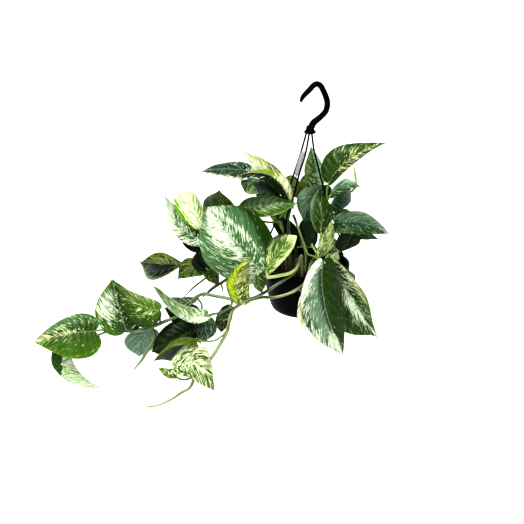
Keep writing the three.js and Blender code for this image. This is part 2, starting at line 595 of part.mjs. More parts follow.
function strand({ turn, leave, way }) {
  const angle = THREE.MathUtils.degToRad(turn);
  const outward = new THREE.Vector3(Math.cos(angle), Math.sin(angle), 0);
  const start = collarPlace.clone().add(new THREE.Vector3(...leave, -4 - 2 * FIT_GAP));
  const edge = outward.clone().multiplyScalar(RIM_RADIUS + 2.6);
  const points = [start, ...way.map(seen), edge.clone().setZ(3), edge.clone().setZ(-5)];
  const clip = new THREE.BoxGeometry(3.6, 9, 15).translate(RIM_RADIUS + 2.6, 0, -6);
  const toe = new THREE.BoxGeometry(5, 9, 2.2).translate(RIM_RADIUS + 1.4, 0, -LIP_HEIGHT - 2.2);
  [clip, toe].forEach((geometry) => geometry.rotateZ(angle));
  return fuse([tube(points, STRAND_THICKNESS / 2, SIDES.strand, 9), solid(clip), solid(toe)]);
}

// The tag is a plain strip of thin plastic between the two left strands.
const tagTop = seen([301, 152, 2]);
const tagFoot = seen([294.5, 176, 2]);
const tagGeometry = new THREE.BoxGeometry(TAG.width, TAG.thickness, TAG.length);
tagGeometry.rotateZ(TAG.turn);
tagGeometry.rotateY(Math.atan2(tagTop.x - tagFoot.x, tagTop.z - tagFoot.z));
tagGeometry.translate((tagTop.x + tagFoot.x) / 2, -2, (tagTop.z + tagFoot.z) / 2);

// The whole plant, moved so that the hang point is the origin.
const plant = new THREE.Group();
plant.position.copy(HANG_POINT).negate();
const BLACK_PLASTIC = 0x17181a;
plant.add(meshOf('pot', potBody, finish(BLACK_PLASTIC, 0.45)));
plant.add(meshOf('soil', soilBody, finish(0x2b1d16, 0.95)));
plant.add(meshOf('hook', hookBody, finish(BLACK_PLASTIC, 0.4)));
STRANDS.forEach((row) => plant.add(meshOf(row.name, strand(row), finish(BLACK_PLASTIC, 0.45))));
plant.add(meshOf('care_tag', solid(tagGeometry), finish(0xd6d9dc, 0.35)));
const GREENS = [0x6f9a4a, 0x5c8c42, 0x86a95a, 0x4d7c3c];
shoots.forEach(({ name, body }, i) => {
  plant.add(meshOf(name, body, finish(GREENS[i % GREENS.length], 0.4)));
});

const part = new THREE.Group();
part.add(plant);
export default part;
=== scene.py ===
import bmesh
import bpy
import numpy as np
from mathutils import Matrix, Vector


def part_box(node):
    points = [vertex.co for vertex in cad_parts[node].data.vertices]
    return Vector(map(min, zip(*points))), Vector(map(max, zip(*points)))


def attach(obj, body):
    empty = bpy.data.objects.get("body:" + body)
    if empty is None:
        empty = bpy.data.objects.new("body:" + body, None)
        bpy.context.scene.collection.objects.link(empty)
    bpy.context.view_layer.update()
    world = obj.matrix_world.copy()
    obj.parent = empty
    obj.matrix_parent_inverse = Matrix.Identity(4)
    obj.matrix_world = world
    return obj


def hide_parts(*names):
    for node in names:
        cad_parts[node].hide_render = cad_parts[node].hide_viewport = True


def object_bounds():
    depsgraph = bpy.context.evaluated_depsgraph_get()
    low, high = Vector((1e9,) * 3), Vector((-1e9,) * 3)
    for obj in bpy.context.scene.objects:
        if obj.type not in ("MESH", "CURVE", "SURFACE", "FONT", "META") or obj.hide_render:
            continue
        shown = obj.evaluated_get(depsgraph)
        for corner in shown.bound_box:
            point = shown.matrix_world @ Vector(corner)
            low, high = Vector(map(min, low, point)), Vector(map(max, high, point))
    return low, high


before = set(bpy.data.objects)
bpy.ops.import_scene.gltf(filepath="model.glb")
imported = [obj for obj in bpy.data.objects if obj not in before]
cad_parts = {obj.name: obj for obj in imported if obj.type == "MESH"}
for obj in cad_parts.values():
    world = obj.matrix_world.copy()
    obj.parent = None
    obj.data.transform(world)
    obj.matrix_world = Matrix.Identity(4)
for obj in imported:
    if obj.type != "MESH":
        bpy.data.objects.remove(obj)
CAD_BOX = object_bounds()


# The pot: one shell of black polypropylene, injection moulded, 150 mm across its turned-down lip.
# Its wall leans in to a round lower corner, and its flat floor has five drain holes.
RIM_RADIUS = 75.0
LIP_HEIGHT = 9.0
POT_HEIGHT = 83.0
WALL = 2.0
DRAIN_RADIUS = 5.0
DRAIN_CIRCLE = 24.0
DRAIN_HOLES = 5
pot_low, pot_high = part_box("pot")
RIM_MIDDLE = np.array([(pot_low.x + pot_high.x) / 2, (pot_low.y + pot_high.y) / 2, pot_high.z])


def to_frame(points):
    """Millimetres from the rim's middle turned to metres in the model's frame."""
    return RIM_MIDDLE + np.asarray(points) / 1000


def linear(code):
    """An sRGB hex colour as linear red, green and blue, and an alpha of one."""
    value = np.array([int(code[i:i + 2], 16) for i in (1, 3, 5)]) / 255
    value = np.where(value <= 0.04045, value / 12.92, ((value + 0.055) / 1.055) ** 2.4)
    return (*value.tolist(), 1.0)


SHARE, FIRST, SECOND = 0, 6, 7  # where a Mix node keeps its share and the two colours that it blends


def add(tree, kind, inputs=None, **settings):
    """Adds a shader node with its settings. An input that is a socket, or a node, whose first output
    in use is meant, is linked to it, and any other is a value."""
    node = tree.nodes.new("ShaderNode" + kind)
    for name, value in settings.items():
        setattr(node, name, value)
    for name, value in (inputs or {}).items():
        if isinstance(value, bpy.types.Node):
            value = next(socket for socket in value.outputs if socket.enabled)
        if isinstance(value, bpy.types.NodeSocket):
            tree.links.new(value, node.inputs[name])
        else:
            node.inputs[name].default_value = value
    return node


def new_material(name):
    """An empty material and its node tree."""
    material = bpy.data.materials.new(name)
    material.use_nodes = True
    material.node_tree.nodes.clear()
    return material, material.node_tree


def mottled(tree, noise, low, high, first, second):
    """A colour that goes from the first to the second where the noise rises from low to high."""
    rise = add(tree, "MapRange", {"Value": noise, "From Min": low, "From Max": high})
    return add(tree, "Mix", {SHARE: rise, FIRST: linear(first), SECOND: linear(second)},
               data_type="RGBA")


def smoothed(corners):
    """An outline with its corners cut: each stretch keeps its middle half, three times over."""
    line = np.asarray(corners, float)
    for _ in range(3):
        cut = np.stack([line[:-1] * 0.75 + line[1:] * 0.25, line[:-1] * 0.25 + line[1:] * 0.75], 1)
        line = np.concatenate([line[:1], cut.reshape(-1, line.shape[1]), line[-1:]])
    return line


def full_turn(count):
    """That many angles, evenly spaced once round."""
    return np.linspace(0, 2 * np.pi, count, endpoint=False)


def turned(outline, segments):
    """Rings about the pot's axis: radius times (cos, sin) of the turn, at the outline's height."""
    turn = full_turn(segments)
    radius, height = np.asarray(outline, float).T[:, :, None]
    return np.stack([radius * np.cos(turn), radius * np.sin(turn), height + 0 * turn], -1)


def skin_mesh(name, skins):
    """One mesh of closed skins. A skin is rings of points, rows by columns, that run round and shrink
    to a point at both ends; it may hold values for its points, and where each face's first and second
    side lies on the surface as (across, along)."""
    mesh = bpy.data.meshes.new(name)
    points, faces, values, uvs, start = [], [], {}, [], 0
    for skin in skins:
        rows, columns = skin["rings"].shape[:2]
        index = np.arange(rows * columns).reshape(rows, columns) + start
        beside = np.roll(index, -1, axis=1)
        faces.append(np.stack([index[:-1], beside[:-1], beside[1:], index[1:]], -1).reshape(-1, 4))
        points.append(skin["rings"].reshape(-1, 3))
        for key, value in skin.get("values", {}).items():
            values.setdefault(key, []).append(value.reshape(rows * columns, -1))
        first = skin.get("first", np.zeros((rows, columns, 2)))
        second = skin.get("second", first)
        uvs.append(np.stack([first[:-1], second[:-1], second[1:], first[1:]], 2).reshape(-1, 2))
        start += rows * columns
    points, faces = np.concatenate(points), np.concatenate(faces)
    mesh.vertices.add(len(points))
    mesh.vertices.foreach_set("co", to_frame(points).ravel())
    mesh.loops.add(faces.size)
    mesh.loops.foreach_set("vertex_index", faces.ravel())
    mesh.polygons.add(len(faces))
    mesh.polygons.foreach_set("loop_start", np.arange(0, faces.size, 4))
    for key, value in values.items():
        value = np.concatenate(value)
        kind, field = ("FLOAT_COLOR", "color") if value.shape[1] == 4 else ("FLOAT", "value")
        mesh.attributes.new(key, kind, "POINT").data.foreach_set(field, value.ravel())
    mesh.uv_layers.new(name="surface").data.foreach_set("uv", np.concatenate(uvs).ravel())
    mesh.update(calc_edges=True)
    weld(mesh)
    return mesh


def weld(mesh):
    """Merges doubled points at seams and poles, and turns every closed skin to face outwards."""
    work = bmesh.new()
    work.from_mesh(mesh)
    bmesh.ops.remove_doubles(work, verts=work.verts, dist=2e-6)
    bmesh.ops.dissolve_degenerate(work, edges=work.edges, dist=1e-6)
    bmesh.ops.recalc_face_normals(work, faces=work.faces)
    work.to_mesh(mesh)
    work.free()
    mesh.polygons.foreach_set("use_smooth", np.ones(len(mesh.polygons), bool))


def stand(name, shape):
    """An object at the origin, from closed skins or from data that is ready."""
    thing = bpy.data.objects.new(name, skin_mesh(name, shape) if isinstance(shape, list) else shape)
    bpy.context.scene.collection.objects.link(thing)
    return thing


def place(name, shape, material, slot, *nodes):
    """A finished piece, riding with the whole plant in place of its CAD nodes."""
    piece = stand(name, shape)
    piece.data.materials.append(material)
    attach(piece, "root")
    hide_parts(*nodes)


# Moulded polypropylene is a satin black: it shows a soft light and a faint dusty bloom, never a mirror.
# Its spark-eroded grain is drawn coarser than the real one, so that it shows. Sizes are in mm.
GRAIN, DUST_PATCH = 1.111, 26.32
moulded_black, tree = new_material("moulded_black_polypropylene")
coords = add(tree, "TexCoord").outputs["Object"]
grain = add(tree, "TexNoise", {"Vector": coords, "Scale": 1000 / GRAIN, "Detail": 2.0})
dust = add(tree, "TexNoise", {"Vector": coords, "Scale": 1000 / DUST_PATCH, "Detail": 4.0})
black = mottled(tree, dust, 0.45, 0.8, "#030304", "#08080a")
rough = add(tree, "MapRange", {"Value": dust, "To Min": 0.34, "To Max": 0.5})
bump = add(tree, "Bump", {"Height": grain, "Strength": 0.12, "Distance": 0.0004})
shell = add(tree, "BsdfPrincipled", {
    "Base Color": black, "Roughness": rough, "Normal": bump, "IOR": 1.49, "Specular IOR Level": 0.05})
add(tree, "OutputMaterial", {"Surface": shell})

outside = [(0, -POT_HEIGHT), (42, -POT_HEIGHT), (50, -81), (55, -76), (58, -68), (61, -56), (67, -30),
           (71.2, -12), (71.5, -LIP_HEIGHT), (72, -LIP_HEIGHT), (RIM_RADIUS - 0.6, -LIP_HEIGHT),
           (RIM_RADIUS, -LIP_HEIGHT + 0.4), (RIM_RADIUS, -6.4), (74.3, -6), (74.3, -5.4),
           (RIM_RADIUS, -5), (RIM_RADIUS, -0.8), (74.2, 0), (71.4, 0), (70.5, -0.8)]
inside = [(69.5, -LIP_HEIGHT), (65, -30), (59.1, -55.5), (56.2, -67.2), (53.3, -75), (49, -79.2),
          (41.6, -POT_HEIGHT + WALL), (0, -POT_HEIGHT + WALL)]
through = turned([(0, -90), (DRAIN_RADIUS, -90), (DRAIN_RADIUS, -76), (0, -76)], segments=32)
pot_blank = stand("pot_blank", [{"rings": turned(smoothed(outside + inside), segments=144)}])
drill = stand("drill", [{"rings": through + DRAIN_CIRCLE * np.array([np.cos(turn), np.sin(turn), 0])}
                        for turn in full_turn(DRAIN_HOLES) + np.pi / DRAIN_HOLES])
cut = pot_blank.modifiers.new("drain_holes", "BOOLEAN")
cut.object = drill
cut.solver = "EXACT"
bpy.context.view_layer.update()
pot_mesh = bpy.data.meshes.new_from_object(pot_blank.evaluated_get(bpy.context.evaluated_depsgraph_get()))
bpy.data.objects.remove(pot_blank)
bpy.data.objects.remove(drill)
pot_mesh.materials.clear()
weld(pot_mesh)
place("hanging_pot", pot_mesh, moulded_black, "pot_plastic", "pot")


# The potting mix: dark peat with shredded bark on it, filled to 10 mm below the rim. Its top is
# uneven and a little higher in the middle; below, it fills the pot.
SOIL_DEPTH = 10.0
SOIL_RADIUS = 68.6
BARK_BITS = 520
draws = np.random.default_rng(41)


def soil_height(x, y):
    """Mounded top in mm: a low dome and four crossed waves of falling height."""
    dome = 1.5 * (1 - (x * x + y * y) / SOIL_RADIUS ** 2)
    waves = sum(0.9 / n * np.sin(n * (0.11 * x + 0.07 * y) + 1.7 * n) * np.cos(n * (0.09 * y - 0.05 * x))
                for n in (1, 2, 4, 7))
    return -SOIL_DEPTH - 0.6 + dome + waves


def bark_bit(spot, size, turn, stretch):
    """A broken bit: a flattened ball of six rings of seven points, stretched along one side, whose
    radius swells and pinches in two and three waves round it."""
    rise, around = np.linspace(0, np.pi, 6)[:, None], full_turn(7)[None, :]
    lump = 1 + 0.22 * np.sin(2 * around + turn) * np.sin(rise) + 0.15 * np.cos(3 * around - turn)
    ball = np.stack([stretch * lump * np.sin(rise) * np.cos(around), lump * np.sin(rise) * np.sin(around),
                     0.5 * np.cos(rise) + 0 * around], -1) * size
    cosine, sine = np.cos(turn), np.sin(turn)
    spin = np.array([[cosine, -sine, 0], [sine, cosine, 0], [0.3 * sine, 0.3 * cosine, 1]])
    return ball @ spin.T + spot


# Damp peat is almost black and quite matt, broken into clods, with fibres in them. Sizes are in mm.
CLOD, FIBRE = 3.846, 1.4286
potting_mix, tree = new_material("damp_peat_and_bark")
coords = add(tree, "TexCoord").outputs["Object"]
clods = add(tree, "TexNoise", {"Vector": coords, "Scale": 1000 / CLOD, "Detail": 6.0, "Roughness": 0.65})
fibres = add(tree, "TexNoise", {"Vector": coords, "Scale": 1000 / FIBRE, "Detail": 3.0})
peat = mottled(tree, clods, 0.38, 0.72, "#0a0607", "#24150f")
bump = add(tree, "Bump", {"Height": fibres, "Strength": 0.8, "Distance": 0.0012})
earth = add(tree, "BsdfPrincipled", {"Base Color": peat, "Roughness": 0.92, "Normal": bump})
add(tree, "OutputMaterial", {"Surface": earth})

rings = turned([(radius, 0) for radius in np.linspace(0, SOIL_RADIUS, 70)], segments=140)
rings[..., 2] = soil_height(rings[..., 0], rings[..., 1])
below = turned([(63.8, -31), (58, -55.5), (55, -67), (51, -76), (40, -80.4), (0, -80.4)], segments=140)
place("potting_mix", [{"rings": np.concatenate([rings, below])}], potting_mix, "potting_mix", "soil")

# Shredded bark is a dull reddish brown, in patches of dark and light that are this many mm wide.
BARK_PATCH = 8.333
bark_brown, tree = new_material("shredded_bark")
coords = add(tree, "TexCoord").outputs["Object"]
shreds = add(tree, "TexNoise", {"Vector": coords, "Scale": 1000 / BARK_PATCH, "Detail": 3.0})
bark = mottled(tree, shreds, 0.35, 0.7, "#1c1012", "#6a4338")
chip = add(tree, "BsdfPrincipled", {"Base Color": bark, "Roughness": 0.85})
add(tree, "OutputMaterial", {"Surface": chip})
reach = (SOIL_RADIUS - 4) * np.sqrt(draws.random(BARK_BITS))
turn = 2 * np.pi * draws.random(BARK_BITS)
spots = np.stack([reach * np.cos(turn), reach * np.sin(turn)], -1)
heights = soil_height(*spots.T)
sizes = 0.8 + 2.0 * draws.random(BARK_BITS) ** 2.5
bits = [{"rings": bark_bit(np.array([*spots[i], heights[i] + 0.2 * sizes[i]]), sizes[i], 7 * turn[i],
                           1.2 + 1.4 * draws.random())} for i in range(BARK_BITS)]
place("bark_bits", bits, bark_brown, "potting_mix", "soil")


# The hanger: a thick hook of black plastic bent in an S, moulded in one with the flanged collar
# that grips the three strands. It narrows at its tip and thickens where it meets the collar.
HOOK_THICKNESS = 9.2
HOOK_POINTS = 90
DOME_HEIGHT = 0.7

# From here on, places are read as the plant is seen from the front, 20 degrees above level and 1.8 m
# away, with the aim to the left of the rim's middle: steps right and down in a view 524 steps wide
# and high, and millimetres in front of the pot's middle plane.
TILT = np.radians(20)
EYE_DISTANCE = 1800.0
STEP = 5 / 3
IMAGE_STEPS = 524
AIM_STEPS = IMAGE_STEPS / 2
AIM = np.array([-71.0, 0.0, 0.0])
EYE = AIM + EYE_DISTANCE * np.array([0.0, -np.cos(TILT), np.sin(TILT)])


def numbers(rows):
    """Rows of numbers, written with commas between the rows, as an array."""
    return np.array([row.split() for row in rows.split(",") if row], float)


def seen(places):
    """Places in mm from the rim's middle: where each line of sight meets its upright plane."""
    right, down, front = numbers(places).T
    across, up = (right - AIM_STEPS) * STEP, (AIM_STEPS - down) * STEP
    ray = AIM + np.stack([across, up * np.sin(TILT), up * np.cos(TILT)], -1) - EYE
    return EYE + ray * ((-front - EYE[1]) / ray[..., 1])[..., None]


COLLAR_PLACE = seen("310 131 0")[0]
HOOK_PATH = ("301 101 0, 302.5 97.5 0, 305.8 93.6 0, 310 89.3 0, 313.8 85.2 0, 317 83.9 0, 320.2 85.4 0, "
             "323 90 0, 325.8 96.5 0, 327.3 102 0, 327.1 106.5 0, 325.5 111.5 0, 322 115.5 0, 318 119 0, "
             "313.5 122.8 0, 310.8 128 0")
COLLAR_OUTLINE = numbers("0 -4, 7.2 -4, 8 -3.4, 9.2 -2.6, 9.5 -2, 9.5 -0.6, 9.1 0.1, 7.6 0.7, 6.8 2.4, "
                         "6 6, 5 9, 0 9")


def smooth_path(places, count):
    """An even walk along the centripetal Catmull-Rom curve through the places: between two of them
    a cubic whose end slopes come from the neighbours, spaced by the root of their distances."""
    points = np.asarray(places, float)
    points = np.concatenate([2 * points[:1] - points[1:2], points, 2 * points[-1:] - points[-2:-1]])
    gap = np.sqrt(np.linalg.norm(np.diff(points, axis=0), axis=1))[:, None]
    before, here, there, after = points[:-3], points[1:-2], points[2:-1], points[3:]
    g0, g1, g2 = gap[:-2], gap[1:-1], gap[2:]
    leave = g1 * ((here - before) / g0 - (there - before) / (g0 + g1) + (there - here) / g1)
    arrive = g1 * ((there - here) / g1 - (after - here) / (g1 + g2) + (after - there) / g2)
    t = np.linspace(0, 1, 24, endpoint=False)[:, None, None]
    walk = ((2 * t**3 - 3 * t**2 + 1) * here + (t**3 - 2 * t**2 + t) * leave
            + (3 * t**2 - 2 * t**3) * there + (t**3 - t**2) * arrive)
    walk = np.concatenate([np.swapaxes(walk, 0, 1).reshape(-1, 3), points[-2:-1]])
    return evenly(walk, count)


def evenly(walk, count):
    """The same line with its points at equal distances along it."""
    length = np.concatenate([[0], np.cumsum(np.linalg.norm(np.diff(walk, axis=0), axis=1))])
    at = np.linspace(0, length[-1], count)
    return np.stack([np.interp(at, length, walk[:, axis]) for axis in range(3)], -1)


def unit(vector):
    """The same direction at length one."""
    return vector / np.linalg.norm(vector, axis=-1, keepdims=True)


def rod(path, radius, sides=16):
    """A round rod: a circle of the given radius carried square to the path, with domed ends. A dome's
    ring lies ahead of the end by its share of the radius and shrinks as a circle does, and the dome is
    flattened. The circle's first side is square to the direction in which the path spreads least."""
    path = np.asarray(path, float)
    radius = np.broadcast_to(np.asarray(radius, float), len(path))
    along = unit(np.gradient(path, axis=0))
    least = np.linalg.svd(path - path.mean(0))[2][-1]
    one = unit(np.cross(along, least))
    two = np.cross(along, one)
    ahead = np.array([1, 0.94, 0.72, 0.35])
    dome = np.sqrt(1 - ahead**2)
    ahead *= DOME_HEIGHT
    path = np.concatenate([path[:1] - along[:1] * radius[0] * ahead[:, None], path,
                           path[-1:] + along[-1:] * radius[-1] * ahead[::-1, None]])
    radius = np.concatenate([radius[0] * dome, radius, radius[-1] * dome[::-1]])
    one, two = [np.pad(side, ((len(ahead), len(ahead)), (0, 0)), "edge") for side in (one, two)]
    turn = full_turn(sides)[None, :, None]
    circle = np.cos(turn) * one[:, None] + np.sin(turn) * two[:, None]
    rings = path[:, None] + radius[:, None, None] * circle
    length = np.concatenate([[0], np.cumsum(np.linalg.norm(np.diff(path, axis=0), axis=1))])
    rows, columns = rings.shape[:2]
    share = np.arange(columns) / columns
    first = np.stack([np.tile(share, (rows, 1)), np.tile(length[:, None], (1, columns))], -1)
    return {"rings": rings, "first": first, "second": first + np.array([1 / columns, 0])}


hook_line = smooth_path(seen(HOOK_PATH), HOOK_POINTS)
walk, girth = [0, 0.05, 0.14, 0.45, 0.62, 0.8, 1], [0.55, 0.78, 0.95, 1, 1.04, 1, 1.25]
hook_radius = HOOK_THICKNESS / 2 * np.interp(np.linspace(0, 1, HOOK_POINTS), walk, girth)
collar = turned(smoothed(COLLAR_OUTLINE), segments=64) + COLLAR_PLACE
hook = rod(hook_line, hook_radius, sides=28)
place("hanger_hook", [hook, {"rings": collar}], moulded_black, "hanger_plastic", "hook")


# Three strands: thin black plastic rods that fan out from under the collar to the rim's right, left
# and front. Each ends in a clip that hooks over and under the pot's lip. A strand has its turn round
# the pot, where it leaves the collar, and the places on its way.
STRAND_THICKNESS = 2.8
STRANDS = {
    "strand_left": (152, (-6, 0.5), "301 152 -8, 294.5 172 -14, 288 192 -20"),
    "strand_middle": (224, (-1.5, -4.5), "305.2 155 9, 299.6 173 15, 293 198 26, 288 213 34, 284 234 42"),
    "strand_right": (34, (3, 2.5), "314 150 -6, 318 166 -12, 322 182 -18, 327 200 -24, 339 235 -36"),
}
CLIP_SIZE, CLIP_RADIUS, CLIP_DROP = (3.6, 9, 15), RIM_RADIUS + 2.6, 6
TOE_SIZE, TOE_RADIUS, TOE_DROP = (5, 9, 2.2), RIM_RADIUS + 1.4, LIP_HEIGHT + 2.2


def rounded_bar(middle, size, along, across):
    """A bar with round edges: a super-ellipse of power 5 carried up its height, drawn in at both ends."""
    turn = full_turn(32)
    around = [np.sign(f(turn)) * np.abs(f(turn)) ** 0.4 for f in (np.cos, np.sin)]
    rise = np.array([-1, -1, -0.97, -0.85, 0, 0.85, 0.97, 1, 1])[:, None]
    draw = np.array([0, 0.9, 0.97, 1, 1, 1, 0.97, 0.9, 0])[:, None]
    upright = np.cross(along, across)
    return {"rings": middle + 0.5 * (size[0] * (draw * around[0])[..., None] * along
                                     + size[1] * (draw * around[1])[..., None] * across
                                     + size[2] * (rise + 0 * turn)[..., None] * upright)}


for name, (turn, leave, way) in STRANDS.items():
    outward = np.array([np.cos(np.radians(turn)), np.sin(np.radians(turn)), 0])
    sideways = np.array([-outward[1], outward[0], 0])
    start, edge = COLLAR_PLACE + np.array([*leave, -4.2]), outward * CLIP_RADIUS
    line = smooth_path([start, *seen(way), edge + [0, 0, 3], edge + [0, 0, -5]], count=90)
    clip = rounded_bar(outward * CLIP_RADIUS - [0, 0, CLIP_DROP], CLIP_SIZE, outward, sideways)
    toe = rounded_bar(outward * TOE_RADIUS - [0, 0, TOE_DROP], TOE_SIZE, outward, sideways)
    strand = rod(line, STRAND_THICKNESS / 2)
    place("hanger_" + name, [strand, clip, toe], moulded_black, "hanger_plastic", name)


# The plant tag: a blank strip of thin translucent polyethylene, pushed in between the two left strands.
# Its lower end is cut to a point, and it bows a little along its length.
TAG = {"width": 15.0, "length": 44.0, "thickness": 0.5, "depth": -2.0, "turn": np.radians(58)}

# Thin polyethylene is milky and lets some light through, and is scuffed in patches this many mm wide.
SCUFF = 6.25
tag_white, tree = new_material("translucent_polyethylene")
coords = add(tree, "TexCoord").outputs["Object"]
scuffs = add(tree, "TexNoise", {"Vector": coords, "Scale": 1000 / SCUFF, "Detail": 3.0})
milky = add(tree, "Mix", {SHARE: scuffs, FIRST: linear("#8e9298"), SECOND: linear("#e4e6ea")},
            data_type="RGBA")
strip = add(tree, "BsdfPrincipled", {
    "Base Color": milky, "Roughness": 0.32, "Transmission Weight": 0.25, "IOR": 1.5})
add(tree, "OutputMaterial", {"Surface": strip})
tag_top, tag_foot = seen("302.5 152 2, 296 176 2")
up = unit((tag_top - tag_foot) * [1, 0, 1])
across = np.array([np.cos(TAG["turn"]), np.sin(TAG["turn"]), 0])
across = unit(across - up * (across @ up))
out = np.cross(across, up)
middle = (tag_top + tag_foot) / 2
middle[1] = TAG["depth"]
rise = np.concatenate([[-1], np.linspace(-1, 1, 30), [1]])
half = np.interp(rise, [-1, -0.72, 0.9, 1], [0.1, 1, 1, 0.86]) * TAG["width"] / 2
half[[0, -1]] = 0
thick = np.full(len(rise), TAG["thickness"] / 2)
thick[[0, -1]] = 0
side = np.array([-1, -0.5, 0, 0.5, 1, 1, 0.5, 0, -0.5, -1])
face = np.array([1, 1, 1, 1, 1, -1, -1, -1, -1, -1])
bow = 0.9 * (rise**2)[:, None] - 0.45 + 0.7 * (side**2)[None, :]
rings = (middle + (rise * TAG["length"] / 2)[:, None, None] * up
         + (half[:, None] * side)[..., None] * across + (bow + thick[:, None] * face)[..., None] * out)
place("plant_tag", [{"rings": rings}], tag_white, "tag_plastic", "care_tag")


# The leaves: heart-shaped blades half a millimetre thick, each half bulging a little between the
# rib and a waved edge, and puckered along the side veins that run out and forward from the rib.
# They grow on stalks, and the stalks on stems that root in the potting mix.
BLADE_THICKNESS = 0.55
RIB_THICKNESS = 1.5
SIDE_VEINS = 9
BLADE_ROWS = 64
HALF_COLUMNS = [0, 0.03, 0.08, 0.15, 0.24, 0.34, 0.44, 0.54, 0.63, 0.72, 0.8, 0.87, 0.93, 0.975, 1]
VEIN_SLOPE = (0.5, 15.0)
EDGE_WAVES = 2.3
PUCKER, RUMPLE = 0.006, 0.008
RIB_WIDTH = 1.4
GROOVE_WIDTH, GROOVE_DEPTH = 1.1, 0.35
GREENEST_SHARE, PALEST_SHARE = -0.6, 0.6
UNDERSIDE_TINT = np.array([0.72, 0.78, 0.9, 1.0])
UNDERSIDE_BLOOM = np.array([0.05, 0.06, 0.045, 0])
UNDERSIDE_GREENER, UNDERSIDE_RIB = 0.08, 0.4
HALVES_APART, FACES_APART = 17.0, 5.3
STALK_RADIUS = 1.9
STEM_RADIUS = 2.9
STALK_POINTS = 40
ROOT_LENGTH = 14.0
SHADED_OLD_TO_LIT_YOUNG = (0.2, 0.7)

# Painted shade: the darkest colours here, almost black, stand for shadow on leaves and leaf halves that
# lie in shade inside the crown.
COLOURS = {
    "deep": "#122008", "leaf": "#233c0b", "grass": "#426216", "fresh": "#66901a", "lime": "#748a2c",
    # Painted reflection: the bluish greys stand for a cool sky seen in the gloss of leaves that face up;
    # the darkest of them is painted shade as well.
    "moss": "#5c7640", "olive": "#2c3610", "khaki": "#4f5e24", "mint": "#476640", "blue": "#28402c",
    "slate": "#22332a", "steel": "#62785f", "night": "#081004", "umber": "#181614",
    "cream": "#bcc58e", "white": "#c6d2b8", "sage": "#869a6a", "sheen_silver": "#90a892",
    "lemon": "#c6cc88", "ivory": "#dde4bc", "gold": "#a8b41c", "faded": "#6b7a3c",
}


def bladed(b, taper, widest):
    """Share of the widest half at b from stalk to tip: a sine, swelling to its peak where the blade is
    widest, to the power 0.8, and drawn in to a point over the last tenth."""
    swell = np.log(0.5) / np.log(widest + 0.197 * (1 - widest) ** 2)
    return (np.sin(np.pi * b**swell).clip(0) ** 0.8 * (1 - 0.35 * b**6) * (1 - b**9) ** 0.4) ** taper


def edge_run(b, lobe):
    """How far along the rib the edge lies: b, drawn back behind the stalk to round out the lobes."""
    return b - lobe * np.sin(np.pi * np.sqrt(b)) * (1 - b) ** 1.5


def faces(upper, lower):
    """Rows that run over the upper face and back along the lower one."""
    return np.concatenate([upper, lower[:, ::-1]], 1)


